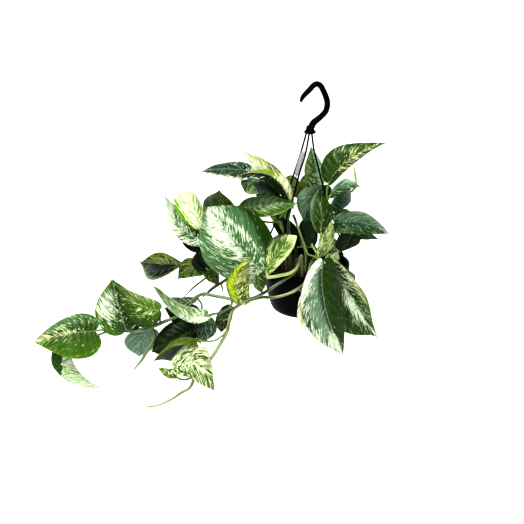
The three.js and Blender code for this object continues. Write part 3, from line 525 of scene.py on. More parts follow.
class Leaf:
    """One blade: its rib is a bow through the first three places, its base, middle and tip, and its
    halves reach to the last two, left and right, where it is widest. It is green, with a share of pale
    flecks that each mark (a, b, their spreads, force) raises or lowers around a place on it. Its stalk
    goes from its foot on a stem by way of via. Lobe says how far its halves reach back past the stalk,
    and taper how pointed it is."""

    def __init__(self, name, at, green, pale, share, marks="", foot="", via="", cup=(0.08, 0.08),
                 lobe=0.22, taper=1.0, wave=0.03, widest=0.32, slant=(1, 0)):
        self.green, self.pale, self.share, self.marks, self.slant = green, pale, share, marks, slant
        self.foot, self.via = foot, via
        self.cup, self.lobe, self.taper, self.wave, self.widest = cup, lobe, taper, wave, widest
        self.base, middle, self.tip, left, right = seen(at)
        self.pull = 2 * middle - (self.base + self.tip) / 2
        along = unit(self.tip - self.base)
        wide_place = self.rib(np.array(widest))
        self.reach = np.stack([left - wide_place, right - wide_place])
        self.spread = np.linalg.norm(self.reach, axis=1)
        self.normal = unit(np.stack([np.cross(along, self.reach[0]), np.cross(self.reach[1], along)]))
        self.out = unit(self.pull - self.base)
        self.length = np.linalg.norm(self.tip - self.base)
        draws = np.random.default_rng(sum(ord(letter) * 7**i for i, letter in enumerate(name[:8])))
        self.rumple, self.shift = 6 * draws.random(2), 40 * draws.random(2)

    def rib(self, t):
        """The bow from base to tip: (1-t)^2 base + 2t(1-t) pull + t^2 tip."""
        t = t[..., None]
        return (1 - t) ** 2 * self.base + 2 * t * (1 - t) * self.pull + t * t * self.tip

    def run(self, a, b):
        """How far along the rib: b^1.6 where a point leaves it, edge_run(b) where it meets the edge."""
        return b**1.6 + (edge_run(b, self.lobe) - b**1.6) * np.abs(a) ** 1.35

    def middle(self, a, b):
        """The blade's middle surface, a from -1 at the left edge to 1 at the right, b from stalk to tip.
        A point lies at run(a, b) along the rib and |a| of the half's width out. Each half bulges by
        sin(pi |a|), its edge waves with b, and between them it puckers with its veins and rumples."""
        s, right = np.abs(a), (a > 0).astype(int)
        run = self.run(a, b)
        width = bladed(b, self.taper, self.widest)
        size = self.spread[right]
        bulge = np.asarray(self.cup)[right] * size * width * np.sin(np.pi * s)
        calm = (6 * b * (1 - b)).clip(0, 1)
        wave = self.wave * size * s * s * np.sin(2 * np.pi * (EDGE_WAVES * b + 0.4 * right)) * calm
        pucker = PUCKER * np.cos(2 * np.pi * SIDE_VEINS * b) * np.sin(np.pi * s**0.7)
        rumple = np.sin(7 * b + 3 * right + self.rumple[0]) * np.cos(5 * s + self.rumple[1])
        lift = bulge + wave + (pucker + RUMPLE * s * rumple) * self.length * width
        return (self.rib(run) + (s * width)[..., None] * self.reach[right]
                + lift[..., None] * self.normal[right])

    def colour(self, steps, a, b):
        """One named colour, or names at steps of a from the left edge to the right, blended between and
        held on past the outer steps. Past the share slant[0] of the way to the tip, the steps slide to
        the right by slant[1] times the way since."""
        a = a - self.slant[1] * (b - self.slant[0]).clip(0)
        places, names = zip(*[("0 " + step).split()[-2:] for step in steps.split(",")])
        table = np.array([linear(COLOURS[name]) for name in names])
        return np.stack([np.interp(a, np.array(places, float), channel) for channel in table.T], -1)

    def skin(self):
        """The closed blade: rings that run over the upper face and back along the lower one. The rib is
        a ridge below and a groove above, and both fall off as exp(-(way from the rib / width)^2). Each
        mark changes the share of pale flecks by its force, fading in the same way around its place.
        The pattern lies in cm out from the rib and along it, less the veins' slope, and each half and
        face has its own part of it."""
        half = np.array(HALF_COLUMNS)
        a = np.concatenate([-half[::-1], half[1:]])
        b = np.linspace(0, 1, BLADE_ROWS) ** 1.15
        A, B = np.meshgrid(a, b)
        middle = self.middle(A, B)
        normal = np.cross(np.gradient(middle, axis=1), np.gradient(middle, axis=0))
        normal[0], normal[-1] = normal[1], normal[-2]
        normal = unit(normal + 1e-12)
        from_rib = np.abs(A) * bladed(B, self.taper, self.widest) * self.spread[(A > 0).astype(int)]
        thick = BLADE_THICKNESS * (1 - A**8) * (1 - (2 * B - 1) ** 16)
        ridge = (RIB_THICKNESS - BLADE_THICKNESS) * np.exp(-(from_rib / RIB_WIDTH) ** 2)
        ridge = ridge * (1 - B) ** 0.7 * B.clip(0, 0.05) * 20
        groove = GROOVE_DEPTH * np.exp(-(from_rib / GROOVE_WIDTH) ** 2) * np.sin(np.pi * B)
        upper = middle + (thick / 2 - groove)[..., None] * normal
        lower = middle - (thick / 2 + ridge)[..., None] * normal
        share = self.share + sum(
            force * np.exp(-(((A - at_a) / wide_a) ** 2) - ((B - at_b) / wide_b) ** 2)
            for at_a, at_b, wide_a, wide_b, force in numbers(self.marks))
        share = np.broadcast_to(np.clip(share, GREENEST_SHARE, PALEST_SHARE), A.shape)
        green, pale = self.colour(self.green, A, B), self.colour(self.pale, A, B)
        under = green * UNDERSIDE_TINT * 0.8 + UNDERSIDE_BLOOM
        both = {"green": faces(green, under), "pale": faces(pale, pale * UNDERSIDE_TINT),
                "share": faces(share, share - UNDERSIDE_GREENER),
                "from_rib": faces(from_rib, from_rib + UNDERSIDE_RIB)}
        walk = np.concatenate([a, a[::-1]])
        island = np.where(walk + np.roll(walk, -1) > 0, HALVES_APART, 0.0)
        island = island + np.repeat([0.0, FACES_APART], len(a))
        along = self.run(A, B) * self.length
        out, along = faces(from_rib, from_rib) / 10, faces(along, along) / 10
        vein = along - out * (VEIN_SLOPE[0] + VEIN_SLOPE[1] * along / self.length)
        lie = np.stack([out * np.sign(walk) + self.shift[0], vein + self.shift[1]], -1)
        first = lie + island[:, None] * [1, 0]
        second = np.roll(lie, -1, axis=1) + island[:, None] * [1, 0]
        return {"rings": faces(upper, lower), "values": both, "first": first, "second": second}

    def stalk(self, stem_end):
        """Its stalk: by the given way, or a bow that leaves the stem upwards and meets the blade from
        behind. It is thickest where it clasps the stem and swells again just under the blade."""
        foot = seen(self.foot)[0] if self.foot else stem_end
        end = self.base + 1.5 * self.out
        if self.via:
            line = smooth_path([foot, *seen(self.via), end], STALK_POINTS)
        else:
            reach = np.linalg.norm(self.base - foot)
            t = np.linspace(0, 1, 60)[:, None]
            rise, arrive = foot + np.array([0, 0, 0.35 * reach]), self.base - 0.3 * reach * self.out
            line = evenly((1 - t) ** 3 * foot + 3 * t * (1 - t) ** 2 * rise + 3 * t * t * (1 - t) * arrive
                          + t**3 * end, STALK_POINTS)
        t = np.linspace(0, 1, STALK_POINTS)
        clasp, swelling = np.exp(-(t / 0.12) ** 2), np.exp(-((t - 0.93) / 0.05) ** 2)
        return rod(line, STALK_RADIUS * (0.86 + 0.3 * clasp + 0.14 * swelling), sides=12)


def tinted(skin, green, pale, share, old_and_shaded=None):
    """The same rod with one pale colour and one share of it all over, and one green, which may come out
    of a darker one between two shares of its way: older growth at the root end, and painted shade where
    the stem stands low in the crown."""
    shape = skin["rings"].shape[:2]
    lit_young = np.interp(np.linspace(0, 1, shape[0]), SHADED_OLD_TO_LIT_YOUNG, (0, 1))[:, None, None]
    start, end = np.array(linear(old_and_shaded or green)), np.array(linear(green))
    skin["values"] = {"green": np.broadcast_to(start + (end - start) * lit_young, (*shape, 4)),
                      "pale": np.broadcast_to(linear(pale), (*shape, 4)),
                      "share": np.full(shape, share)}
    return skin


# A living blade is satin: a waxy skin over green tissue that lets a little light through. Marble queen
# has cells with no green in them, in flecks that follow the side veins, so the two colours meet in
# bands, streaks and specks of each in the other: a noise for each, with its length and width in mm,
# its detail and its seed. Two sums of these noises and the share, times their weights, say where a
# leaf is washed halfway to pale and where it is all pale, which the specks break up most.
FLECKS = ((28.57, 11.11, 1.0, 3.0), (10.0, 3.125, 2.0, 11.0), (5.0, 1.6667, 1.0, 23.0))
HALFWAY_WEIGHTS, PALE_WEIGHTS = (0.3, 0.45, 0.25, 0.27), (0.15, 0.45, 0.85, 0.3)
living_blade, tree = new_material("waxy_variegated_leaf")
green, pale, share, from_rib = [add(tree, "Attribute", attribute_name=name)
                                for name in ("green", "pale", "share", "from_rib")]
lie = add(tree, "UVMap", uv_map="surface")
flecks = []
for long, wide, detail, seed in FLECKS:
    streaks = add(tree, "Mapping", {
        "Vector": lie, "Scale": (10 / long, 10 / wide, 1.0), "Location": (0.0, 0.0, seed)})
    flecks.append(add(tree, "TexNoise", {
        "Vector": streaks, "Scale": 1.0, "Detail": detail, "Roughness": 0.6, "Distortion": 0.5}))
levels = []
for weights in (HALFWAY_WEIGHTS, PALE_WEIGHTS):
    level = 0.0
    for part, weight in zip((*flecks, share.outputs["Fac"]), weights):
        level = add(tree, "Math", {0: part, 1: weight, 2: level}, operation="MULTIPLY_ADD")
    levels.append(level)
halfway, cream, rib_line = [
    add(tree, "MapRange", {"Value": value, "From Min": low, "From Max": high, "To Max": most},
        interpolation_type="SMOOTHSTEP")
    for value, low, high, most in ((levels[0], 0.545, 0.562, 0.34), (levels[1], 0.825, 0.85, 1.0),
                                   (from_rib.outputs["Fac"], 1.1, 0.3, 0.25))]
crowded = add(tree, "Math", {0: flecks[1], 1: flecks[2]}, operation="ADD")
shade = add(tree, "MapRange", {
    "Value": crowded, "From Min": 0.75, "From Max": 1.25, "To Min": 0.62, "To Max": 1.38})
tissue = add(tree, "VectorMath", {0: green, "Scale": shade}, operation="SCALE")
drained = add(tree, "Math", {0: halfway, 1: rib_line}, operation="MAXIMUM")
veined = add(tree, "Mix", {SHARE: drained, FIRST: tissue, SECOND: pale}, data_type="RGBA")
marbled = add(tree, "Mix", {SHARE: cream, FIRST: veined, SECOND: pale}, data_type="RGBA")
bump = add(tree, "Bump", {"Height": flecks[2], "Strength": 0.2, "Distance": 0.0005})
blade = add(tree, "BsdfPrincipled", {
    "Base Color": marbled, "Roughness": 0.45, "Normal": bump, "IOR": 1.45, "Specular IOR Level": 0.22,
    "Subsurface Weight": 0.12, "Subsurface Radius": (0.6, 1.0, 0.25), "Subsurface Scale": 0.003})
add(tree, "OutputMaterial", {"Surface": blade})

# Stalks and stems are the same tissue, firmer and smoother, with long cream streaks up and down them:
# six round a stalk, each this many mm long.
STREAKS_ROUND, STREAK_LENGTH = 6.0, 55.56
living_stem, tree = new_material("fleshy_streaked_stem")
green, pale, share = [add(tree, "Attribute", attribute_name=name)
                      for name in ("green", "pale", "share")]
lie = add(tree, "UVMap", uv_map="surface")
lengthwise = add(tree, "Mapping", {
    "Vector": lie, "Scale": (STREAKS_ROUND, 1 / STREAK_LENGTH, 1.0), "Location": (0.0, 0.0, 5.0)})
lengthwise = add(tree, "TexNoise", {
    "Vector": lengthwise, "Scale": 1.0, "Detail": 2.0, "Roughness": 0.6, "Distortion": 0.5})
level = add(tree, "Math", {0: share.outputs["Fac"], 1: 0.42, 2: lengthwise},
            operation="MULTIPLY_ADD")
cream = add(tree, "MapRange", {"Value": level, "From Min": 0.55, "From Max": 0.85},
            interpolation_type="SMOOTHSTEP")
streaked = add(tree, "Mix", {SHARE: cream, FIRST: green, SECOND: pale}, data_type="RGBA")
stem_skin = add(tree, "BsdfPrincipled", {
    "Base Color": streaked, "Roughness": 0.4, "IOR": 1.45, "Subsurface Weight": 0.1,
    "Subsurface Radius": (0.6, 1.0, 0.25), "Subsurface Scale": 0.002})
add(tree, "OutputMaterial", {"Surface": stem_skin})


OLD_STEM = {"girth": 2.6, "green": "#2c421a", "pale": "#5f7a3c"}
# A stem's green darkens towards its root end: partly its older growth, partly painted shade where it
# stands low in the crown above the potting mix.
OLD_AND_SHADED_GREEN = "#1f2a10"


def grow(node, stem, leaves, twigs=(), girth=STEM_RADIUS, green="#5f7f34", pale="#b9c98a", share=0.5,
         thin_end=1.0):
    """One shoot in place of its CAD node: the blades, and the stem with its root end, its stalks and
    its twigs. The stem swells a little where each stalk leaves it, and may thin out to its end."""
    places = seen(stem)
    top = places[0]
    root = np.array([top[0], top[1], -SOIL_DEPTH - ROOT_LENGTH])
    collar = np.array([top[0], top[1], -SOIL_DEPTH + 1])
    line = smooth_path([root, collar, *places], 24 * len(places))
    radius = girth * 0.94 * np.interp(np.linspace(0, 1, len(line)), [0, 0.8, 1], [1, 1, thin_end])
    for leaf in leaves:
        if leaf.foot:
            near = np.linalg.norm(line - seen(leaf.foot)[0], axis=1)
            radius += 0.16 * girth * np.exp(-(near / 3) ** 2)
    woody = [tinted(rod(line, radius, sides=14), green, pale, share, OLD_AND_SHADED_GREEN)]
    woody += [tinted(leaf.stalk(places[-1]), green, pale, share) for leaf in leaves]
    walk = np.linspace(0, 1, STALK_POINTS)
    for way, thickness, twig_green in twigs:
        thin = thickness * np.interp(walk, [0, 0.2, 0.6, 1], [1, 1.9, 1.6, 0.6])
        twig = rod(smooth_path(seen(way), STALK_POINTS), thin, sides=10)
        woody.append(tinted(twig, twig_green, pale, 0.1))
    place(node + "_stems", woody, living_stem, "leaf_and_stem", node)
    place(node + "_blades", [leaf.skin() for leaf in leaves], living_blade, "leaf_and_stem", node)


# The front left shoot leans out over the lip with the largest leaf of the plant and two small ones.
grow("shoot_front_left", "302 262 48, 301.5 256 52, 299 263 68, 296 269 80, 290 273 86, 280 275.5 90, "
     "270 277 90, 264 277 88", [
    Leaf("largest", "260 271 82, 233.5 239 80, 207 207 64, 207 264 70, 262.5 219.5 58",
        "0.45 mint, 0.58 leaf", "white", -0.1, "-0.3 0.85 0.35 0.25 0.75, "
        "-0.12 0.5 0.12 0.3 0.4, -0.55 0.12 0.6 0.22 0.5, 0.3 0.65 0.09 0.4 0.6, 0.6 0.95 0.5 0.1 0.5, "
        "0.9 0.35 0.35 0.4 -0.5, 0.3 0.05 0.5 0.06 0.5", via="260 275 86", cup=(0.1, 0.2), taper=0.75,
        widest=0.47, slant=(0.45, 1.2)),
    Leaf("inner_upright", "266 272 86, 278 254 90, 297 235.5 84, 269 241 76, 288 256 98",
        "-1 leaf, 0 grass, 1 moss", "cream", 0,
        "0.85 0.5 0.25 0.6 0.5, -0.5 0.2 0.3 0.3 0.2, 0 1 1.5 0.1 0.8", foot="268 277 90", taper=0.8,
        widest=0.5),
    Leaf("small_hanging", "258 274 96, 258 284 100, 262 293 102, 266 280 98, 253 283 100",
        "0.2 leaf, 0.8 khaki", "sage", 0, foot="264 277 88"),
], green="#76893f", pale="#b4bd84")

# The far left vine, the longest, bows away to the left, from a new curled leaf to a half folded one.
grow("vine_far_left", "297 266 40, 297 260 50, 297 266 64, 296 271 73, 290 276 80, 278 284 87, "
     "260 295 92, 250 299 95, 238 302 97, 230 299 94, 215 296 85, 204 294 76, 195 298 62, 186 307 52, "
     "176 317 46, 168 320 46, 152 327 46, 140 331 44, 125 331 40, 108 331 44", [
    Leaf("new_curled", "238 302 101, 234 279 108, 252 256 100, 226 286 104, 249 286 96",
        "-1 olive, -0.5 lime, 0 lime, 0.2 khaki",
        "-1 fresh, -0.4 gold, 0.1 gold, 0.2 lemon", 0.2, "-0.3 0.5 0.3 0.3 0.2",
        foot="239 303 97"),
    Leaf("long_pale", "205 316 74, 178 311.5 80, 153.5 287 80, 179 318 92, 172 298 68",
        "-1 sage, 1 moss", "white", 0.15, "-0.5 0.25 0.6 0.5 0.45, 0 0.85 1.5 0.3 -0.2",
        foot="232 300 94", via="231 306 88, 222 312 80, 212 314 76", taper=0.55, widest=0.55),
    Leaf("small_pale", "196 301 62, 183 302 62, 169 297 60, 184 306 70, 186 297 52",
        "slate", "sage", 0.1, foot="204 294 76", via="199 296 68"),
    Leaf("wide_streaked", "126 330 52, 118.5 305 58, 112 278.5 58, 96 319 48, 141 309 38",
        "-1 grass, 0 leaf", "white", -0.1, "-0.6 0.6 0.45 0.22 0.65, -0.7 0.05 0.6 0.2 -0.4, "
        "0 1 1.5 0.12 -0.3", foot="138 331 44", via="132 331 46"),
    Leaf("streaked_beside", "160 310 54, 138 304 58, 114 282 66, 140 327 64, 141 295 50",
        "-1 leaf, 0 grass, 1 moss", "cream", -0.12, "-0.2 0.5 0.25 0.25 0.4, 0.85 0.3 0.25 0.5 0.4, "
        "0 0.02 1.5 0.15 -0.5, -0.8 0.5 0.3 0.8 -0.15", foot="160 323.5 46", via="160 317 50"),
    Leaf("dark_upper", "199 317 32, 183 317 32, 164 307.5 34, 187 335 36, 186 303 26",
        "deep", "leaf", -0.2, foot="197 297.5 64", via="202 306 46"),
    Leaf("far_tip", "95 331 50, 65 334.5 56, 32 342 56, 84 358.5 70, 79 313.5 32",
        "-1 grass, 0.3 leaf, 0.75 mint", "cream", -0.18, "0 1 1 0.14 0.7, 0.08 0.6 0.12 0.35 0.45, "
        "0.4 0.75 0.3 0.2 0.35, -0.3 0.15 0.4 0.25 -0.3", foot="108 331 44", via="102 330 47", lobe=0.18),
    Leaf("far_folded", "63 353 48, 71 382.5 50, 104.5 387 48, 74 363 34, 53 366 42",
        "0 sage, 0.04 leaf", "white", 0.15, "-0.6 0.6 0.7 0.8 0.2, 0.8 0.1 0.7 0.35 -1.5, "
        "0.8 0.85 0.7 0.4 0.5", foot="108 331 44", via="96 336 36, 78 344 40, 66 347 46",
        slant=(0.38, 2.5)),
    Leaf("blue_underside", "149 329 34, 141 342 30, 139 357 24, 125 338 30, 157 343 24",
        "steel", "sheen_silver", 0.15, foot="156 325 46", via="152 326 40"),
], twigs=[("153 327 46, 154 338 48, 146 353 50, 141 361 50, 134 369.5 50", 1.8, "#5f6e48")],
    green="#34482a", pale="#6e7e58")

# The low left vine turns down, past dark leaves whose colour is painted shade and a well marbled one,
# to a bare growing tip.
grow("vine_low_left", "316 264 52, 315 258 58, 311 265 68, 309 272 76, 306 282 84, 294 291 85, "
     "275 297.2 86, 262 297.4 86, 250 300.3 86, 240 304.5 84, 232 311 80, 229 322 78, 227 332 78, "
     "221 343 80, 212 357 80, 201 370 76, 195 377 78, 190 387.5 80, 181 393 82, 172 399 84, "
     "157 405.5 86, 146 407 88", [
    Leaf("dark_inner", "230 305 78, 226 318 72, 221 333 68, 232 319 66, 216 317 70",
        "deep", "sage", -0.05, foot="232 311 80"),
    Leaf("grey_inner", "206 316 62, 205 328 60, 202 343 58, 217 329 54, 194 330 52",
        "slate", "sheen_silver", 0.1, foot="230 315 79", via="220 313 68"),
    Leaf("edge_on", "200 341 76, 177 339 82, 153 362 80, 182 345 98, 184 360 60",
        "-0.02 khaki, 0.04 umber", "faded", 0.1, "0.6 0.5 0.5 1 -0.8", foot="228 329 78",
        via="222 336 78, 213 341 77"),
    Leaf("dark_low", "197 327 50, 176 338 50, 151 352 48, 180 353 60, 170 323 38",
        "deep", "grass", -0.2, foot="230 318 78", via="215 322 62, 204 324 52"),
    Leaf("pale_hanging", "303 292 82, 302 310 80, 306 330 78, 309 308 76, 297 312 82",
        "moss", "ivory", 0.45, foot="294 291 85", via="299 289.5 86"),
    Leaf("low_marbled", "174 366 90, 198 366 96, 214.5 391 92, 200 342.5 82, 186 377 100",
        "grass", "ivory", 0.12, "-0.9 0.5 0.25 0.6 0.4, 0 0.55 0.15 0.4 0.3", foot="194 376 78",
        via="184 373 84", taper=0.8, widest=0.42),
    Leaf("small_rolled", "176 377 80, 167 374 82, 158 368 80, 168 378 88, 169 369 76",
        "khaki", "cream", 0.15, foot="194 376 78", via="188 379 79, 182 379.5 80"),
], thin_end=0.5, green="#3f5224", pale="#8a9662")

# The upper left vine arches out behind the largest leaf, and thin roots hang from it in the air.
grow("vine_upper_left", "281 262 10, 279 248 18, 268 244 28, 256 250 34, 244 264 34, 232 276 32, "
     "225 280.5 30, 217 284 28, 210 266 24, 204 248 22", [
    Leaf("dark_peak", "222 228 20, 219 209 10, 219.5 189 0, 203 207 10, 237.5 213 5",
        "-0.4 slate, -0.2 olive", "khaki", 0.05, foot="204 248 22", taper=1.3),
    Leaf("cream_upright", "202 229 26, 194 209 20, 187 189 8, 175 208 18, 202 205 8",
        "fresh", "ivory", 0.5, "0.5 0.4 0.4 0.4 -0.25, -0.95 0.2 0.2 0.35 -1", foot="204 248 22"),
    Leaf("outer_crescent", "203 241 28, 178 224 22, 164 193 4, 180 240 36, 192 222 2",
        "0 mint, 0.1 leaf", "white", 0.05, "-0.8 0.5 0.5 0.8 0.35, 0 1 1.5 0.3 0.8",
        foot="204 248 22"),
    # Painted shade: a leaf coloured almost black where it lies in shadow behind the others.
    Leaf("dark_sliver", "203 251 28, 191 246 24, 181 239 20, 191 251 32, 192 241 10",
        "night", "slate", 0, foot="204 254 22"),
    Leaf("side_olive", "181 264 20, 160 264 18, 137 262 14, 151 280.5 34, 159 252 -2",
        "-1 steel, -0.75 night, 0 night, 0.1 olive", "faded", 0.1,
        "-0.5 0.5 0.4 0.8 -0.4, 0.6 0.5 0.3 0.5 0.15", foot="208 262 23", via="194 266 16", taper=1.9,
        widest=0.5),
    Leaf("low_olive", "208 266 30, 192 266.5 32, 177.5 280 28, 196 276.5 40, 188 258 18",
        "olive", "faded", 0.1, "-0.2 0.1 0.5 0.2 0.4", foot="211 268 24"),
    Leaf("dark_wedge", "207 269 40, 200 260 36, 199 249 30, 192.5 266 42, 208 257 32",
        "night", "deep", 0, foot="212 271 25"),
    Leaf("low_point", "208 270 30, 213 277 32, 219 285 34, 217 270 28, 205 278 36",
        "olive", "faded", 0, foot="212 271 25"),
], twigs=[("222 282 29, 213 288 30, 203 297 32", 1.5, "#2a3218"), ("212 272 25.5, 207 277 30, "
    "194 287 34, 183 298 36", 0.9, "#2a3218"), ("221 282 29, 222 287 30, 223 293 31", 0.8, "#2a3218")],
    green="#3d4a22", pale="#7f8f56", share=0.3)

# The top left shoot stands up behind the strands, with its leaves spread to the left.
grow("shoot_top_left", "290 258 14, 290 240 6, 288 225 2, 288 214 0", [
    Leaf("top_bluish", "252 171.5 -34, 227 169 -34, 200.5 171.5 -34, 236 179.5 -14, 238 161.5 -54",
        "-1 slate, -0.4 blue, 0.5 blue, 1 slate", "white", -0.22,
        "-0.97 0.6 0.2 0.7 0.8, 0.5 0.05 0.9 0.2 0.7", via="282 196 -14, 268 178 -30"),
    Leaf("top_yellow", "285 189 -20, 268 172 -20, 241.5 150 -22, 262 181 -12, 276 167 -38",
        "leaf", "-1 white, 1 lemon", 0.15, "0 0.85 1.5 0.25 0.5, -0.5 0.5 0.5 0.3 0.1",
        foot="288 220 0", via="291 204 -10", taper=1.35, widest=0.38),
    Leaf("top_bright", "290 203 12, 270 175.5 14, 236 176.5 10, 273 188 28, 284 175 0",
        "-0.1 deep, 0.1 lime", "ivory", -0.3, "0.6 0.35 0.5 0.22 1, 0.2 0.4 0.3 0.2 0.3",
        taper=1.35, widest=0.36),
    Leaf("round_green", "266 181 -14, 252 182 -12, 245 193 -10, 258 194 2, 245 178 -26",
        "-1 leaf, 1 blue", "sage", 0, "-0.9 0.7 0.3 0.3 0.4", foot="289 232 4",
        via="283 205 -8, 275 188 -14"),
    # Painted shade: the next two leaves are coloured dark where the crown lies in shadow under the leaves
    # above them.
    Leaf("dark_round", "273 185 0, 263 188 2, 257 199 0, 271 198 12, 258 182 -8",
        "slate", "steel", 0, foot="289 228 4", via="284 200 0"),
    Leaf("dark_behind", "289 202 0, 280 192 -4, 270 187 -8, 276 201 10, 284 187 -14",
        "deep", "slate", 0.1, foot="288 222 2"),
], girth=2.6, green="#31471c", pale="#6f8546")

# The middle left shoot holds one marbled leaf across the gap before the strands.
grow("shoot_middle_left", "286 264 26, 286 246 30, 284 232 32, 281 222 34", [
    Leaf("crossing", "244 208 32, 270 205 42, 298 203.5 52, 260 196 24, 266 217 46",
        "0 leaf, 1 grass", "sage", -0.45, "0.35 0.5 0.45 0.3 0.75, 0.97 0.5 0.1 0.8 0.9, "
        "-0.2 0.8 0.4 0.12 0.5, 0 1 1.5 0.06 0.9", via="266 222 30, 250 216 28"),
    Leaf("grey_behind", "262 207 26, 250 204 24, 236 208 24, 252 211 32, 254 197 14",
        "slate", "steel", 0.1, foot="283 230 33", via="272 214 28"),
], girth=2.4, green="#35491e", pale="#7f9350")

# The top right shoot stands up between the strands, its leaves dark and bluish but for one: painted
# shade and painted sky reflection in their colour.
grow("shoot_top_right", "306 256 -16, 307 236 -22, 309 218 -28, 312 206 -30", [
    Leaf("upright_pale", "318 185 -34, 315 165 -38, 311 146 -44, 305 178 -46, 325 175 -34",
        "-1 khaki, 0 olive, 0.1 moss", "sheen_silver", 0, "0.6 0.4 0.5 0.6 0.5", lobe=0.1),
    Leaf("olive_behind", "303 192 -52, 293 186 -56, 282 183 -60, 292 196 -46, 294 176 -68",
        "olive", "faded", 0.1),
    Leaf("dark_between", "318 189 -48, 308 183 -52, 297 187 -56, 309 191 -40, 310 174 -64",
        "leaf", "khaki", 0.1, foot="310 214 -29"),
    Leaf("big_blue", "327 185 -34, 313 196 -20, 303 222 -8, 323 208 -22, 299.5 193 -28",
        "-1 slate, 0 blue, 1 steel", "sheen_silver", -0.15, foot="312 206 -30", via="324 194 -40", widest=0.4),
], **OLD_STEM)

# The right shoot is the tallest, with a long speckled leaf and a new leaf that is still rolled.
grow("shoot_right", "320 254 -4, 323 236 -6, 325 220 -8, 327 208 -10", [
    Leaf("long_speckled", "329 183 0, 351.5 157.5 -4, 388 142.5 -10, 326.5 154.5 -18, 345 171.5 10",
        "-1 leaf, 1 olive", "0.6 cream, 1 sage", -0.02, "0 0.05 1.5 0.28 -0.8, "
        "-1 0.2 0.5 0.3 -0.4, 0.35 0.7 0.45 0.4 0.3", lobe=0.1, taper=1.1),
    Leaf("pale_band", "330 196 8, 344 186 14, 361 187 22, 340 181 -6, 342 193 26",
        "-0.1 mint, 0.1 leaf", "sheen_silver", 0, "-0.8 0.4 0.4 0.5 0.35", lobe=0.12),
    Leaf("dark_rounded", "331 205 -8, 344 198 -18, 351 202 -42, 345 186 -22, 339 211 -12",
        "-1 steel, 0 blue", "steel", 0, lobe=0.12),
    Leaf("rolled_new", "356 187 -40, 355 175 -38, 353 163 -36, 354.5 180 -37, 357 180 -42",
        "lime", "lemon", 0.9, foot="327 208 -10", via="336 207 -16, 343 198 -48, 352 191 -50", wave=0),
    Leaf("green_behind", "332 217 -14, 342 215 -18, 353 214 -24, 342 209 -28, 343 222 -16",
        "grass", "cream", 0, foot="326 214 -9"),
], girth=2.6, green="#3c5a22", pale="#86a050")

# The front right shoot stands over the lip, with a leaf streaked along its length and a folded one.
grow("shoot_front_right", "316 262 24, 318 252 38, 319 247 44", [
    Leaf("front_streaked", "321 234 48, 321 213 43, 316 192 30, 310 214 40, 333 214 34",
        "-1 steel, -0.6 leaf", "sage", -0.15, "0.1 0.5 0.2 0.5 0.3", lobe=0.1),
    Leaf("pale_folded", "320 256 76, 326 238 72, 332 219 62, 320 243 80, 333 246 60",
        "grass", "cream", 0.25, foot="318 252 38", lobe=0.08),
    Leaf("dark_fill", "312 245 16, 308 231 10, 303 219 6, 300 232 6, 317 229 8",
        "deep", "blue", 0, foot="317 256 32"),
])

# The far right shoot spreads two bluish leaves to the right and droops a dark one over the rim: the
# bluish is painted sky reflection and the dark painted shade.
grow("shoot_far_right", "330 262 8, 332 250 6, 333 238 4, 333 230 4", [
    Leaf("right_bluish", "336 223 16, 362 222.5 22, 389.5 234 24, 355 210.5 -6, 352 234 40",
        "-1 steel, 0.2 blue, 1 leaf", "sheen_silver", -0.12, "0 0.97 1.5 0.12 0.6", taper=0.9),
    Leaf("right_under", "341 230 -6, 359 232 -6, 379 239.5 -4, 355 226 -22, 356 238.5 8",
        "slate", "sheen_silver", 0.05),
    Leaf("dark_drooping", "352 228 -34, 350 240 -32, 341 252 -30, 361 239 -40, 336 241 -26",
        "deep", "grass", 0, foot="333 234 4", via="341 226 -22", lobe=0.1),
], girth=2.6, green="#35501e", pale="#6f8a46")

# The hanging shoot sends a long stalk over the lip, with a big leaf that hangs down the pot's front.
grow("shoot_hanging_right", "306 256 20, 303 243 16, 298.5 229 15, 295.5 221 15, 293.5 215.5 15", [
    Leaf("front_hanging", "323 261 92, 325 306 98, 343.5 355.5 94, 343 306 80, 301 311 96",
        "-0.02 leaf, 0.1 blue, 0.25 steel, 0.6 steel, 0.8 blue, 1 leaf", "white", -0.2,
        "0.95 0.2 0.5 0.28 0.95, 0.4 0.05 0.5 0.12 0.6, 0.1 0.95 0.8 0.13 0.9, 0.9 0.75 0.3 0.15 0.5, "
        "-0.5 0.4 0.5 0.6 -0.3", foot="293.5 215.5 15", via="295.5 220 28, 299.8 232 42, 304.2 244 52, "
        "307.5 253.5 62, 315 257 80", taper=0.9, widest=0.38),
], girth=2.2, green="#3a5020", pale="#76894e")

# The shoot behind it hangs a second big leaf down the pot's right side.
grow("shoot_behind_hanging", "326 266 40, 327 258 44, 329 256 50", [
    Leaf("behind_hanging", "332 259 70, 350 297 62, 380 340 46, 363 291 42, 335 322 70",
        "-1 grass, -0.4 leaf", "-1 lemon, -0.3 white", -0.15, "0.15 0.72 0.25 0.2 0.75, "
        "-0.75 0.35 0.4 0.3 0.65, 0 1 1 0.1 0.8", foot="329 256 50", lobe=0.12, taper=1.4, widest=0.44),
    Leaf("curled_lobe", "328 260 78, 334 256 74, 340 259 64, 334 263 82, 335 252 64",
        "khaki", "lemon", 0.45, foot="329 256 50"),
    Leaf("bluish_bit", "341 268 50, 348 274 45, 355 283 38, 353 273 34, 344 281 52",
        "blue", "sheen_silver", 0.05, "0 0.8 1.5 0.3 0.3", foot="327 258 44", via="333 258 50"),
])

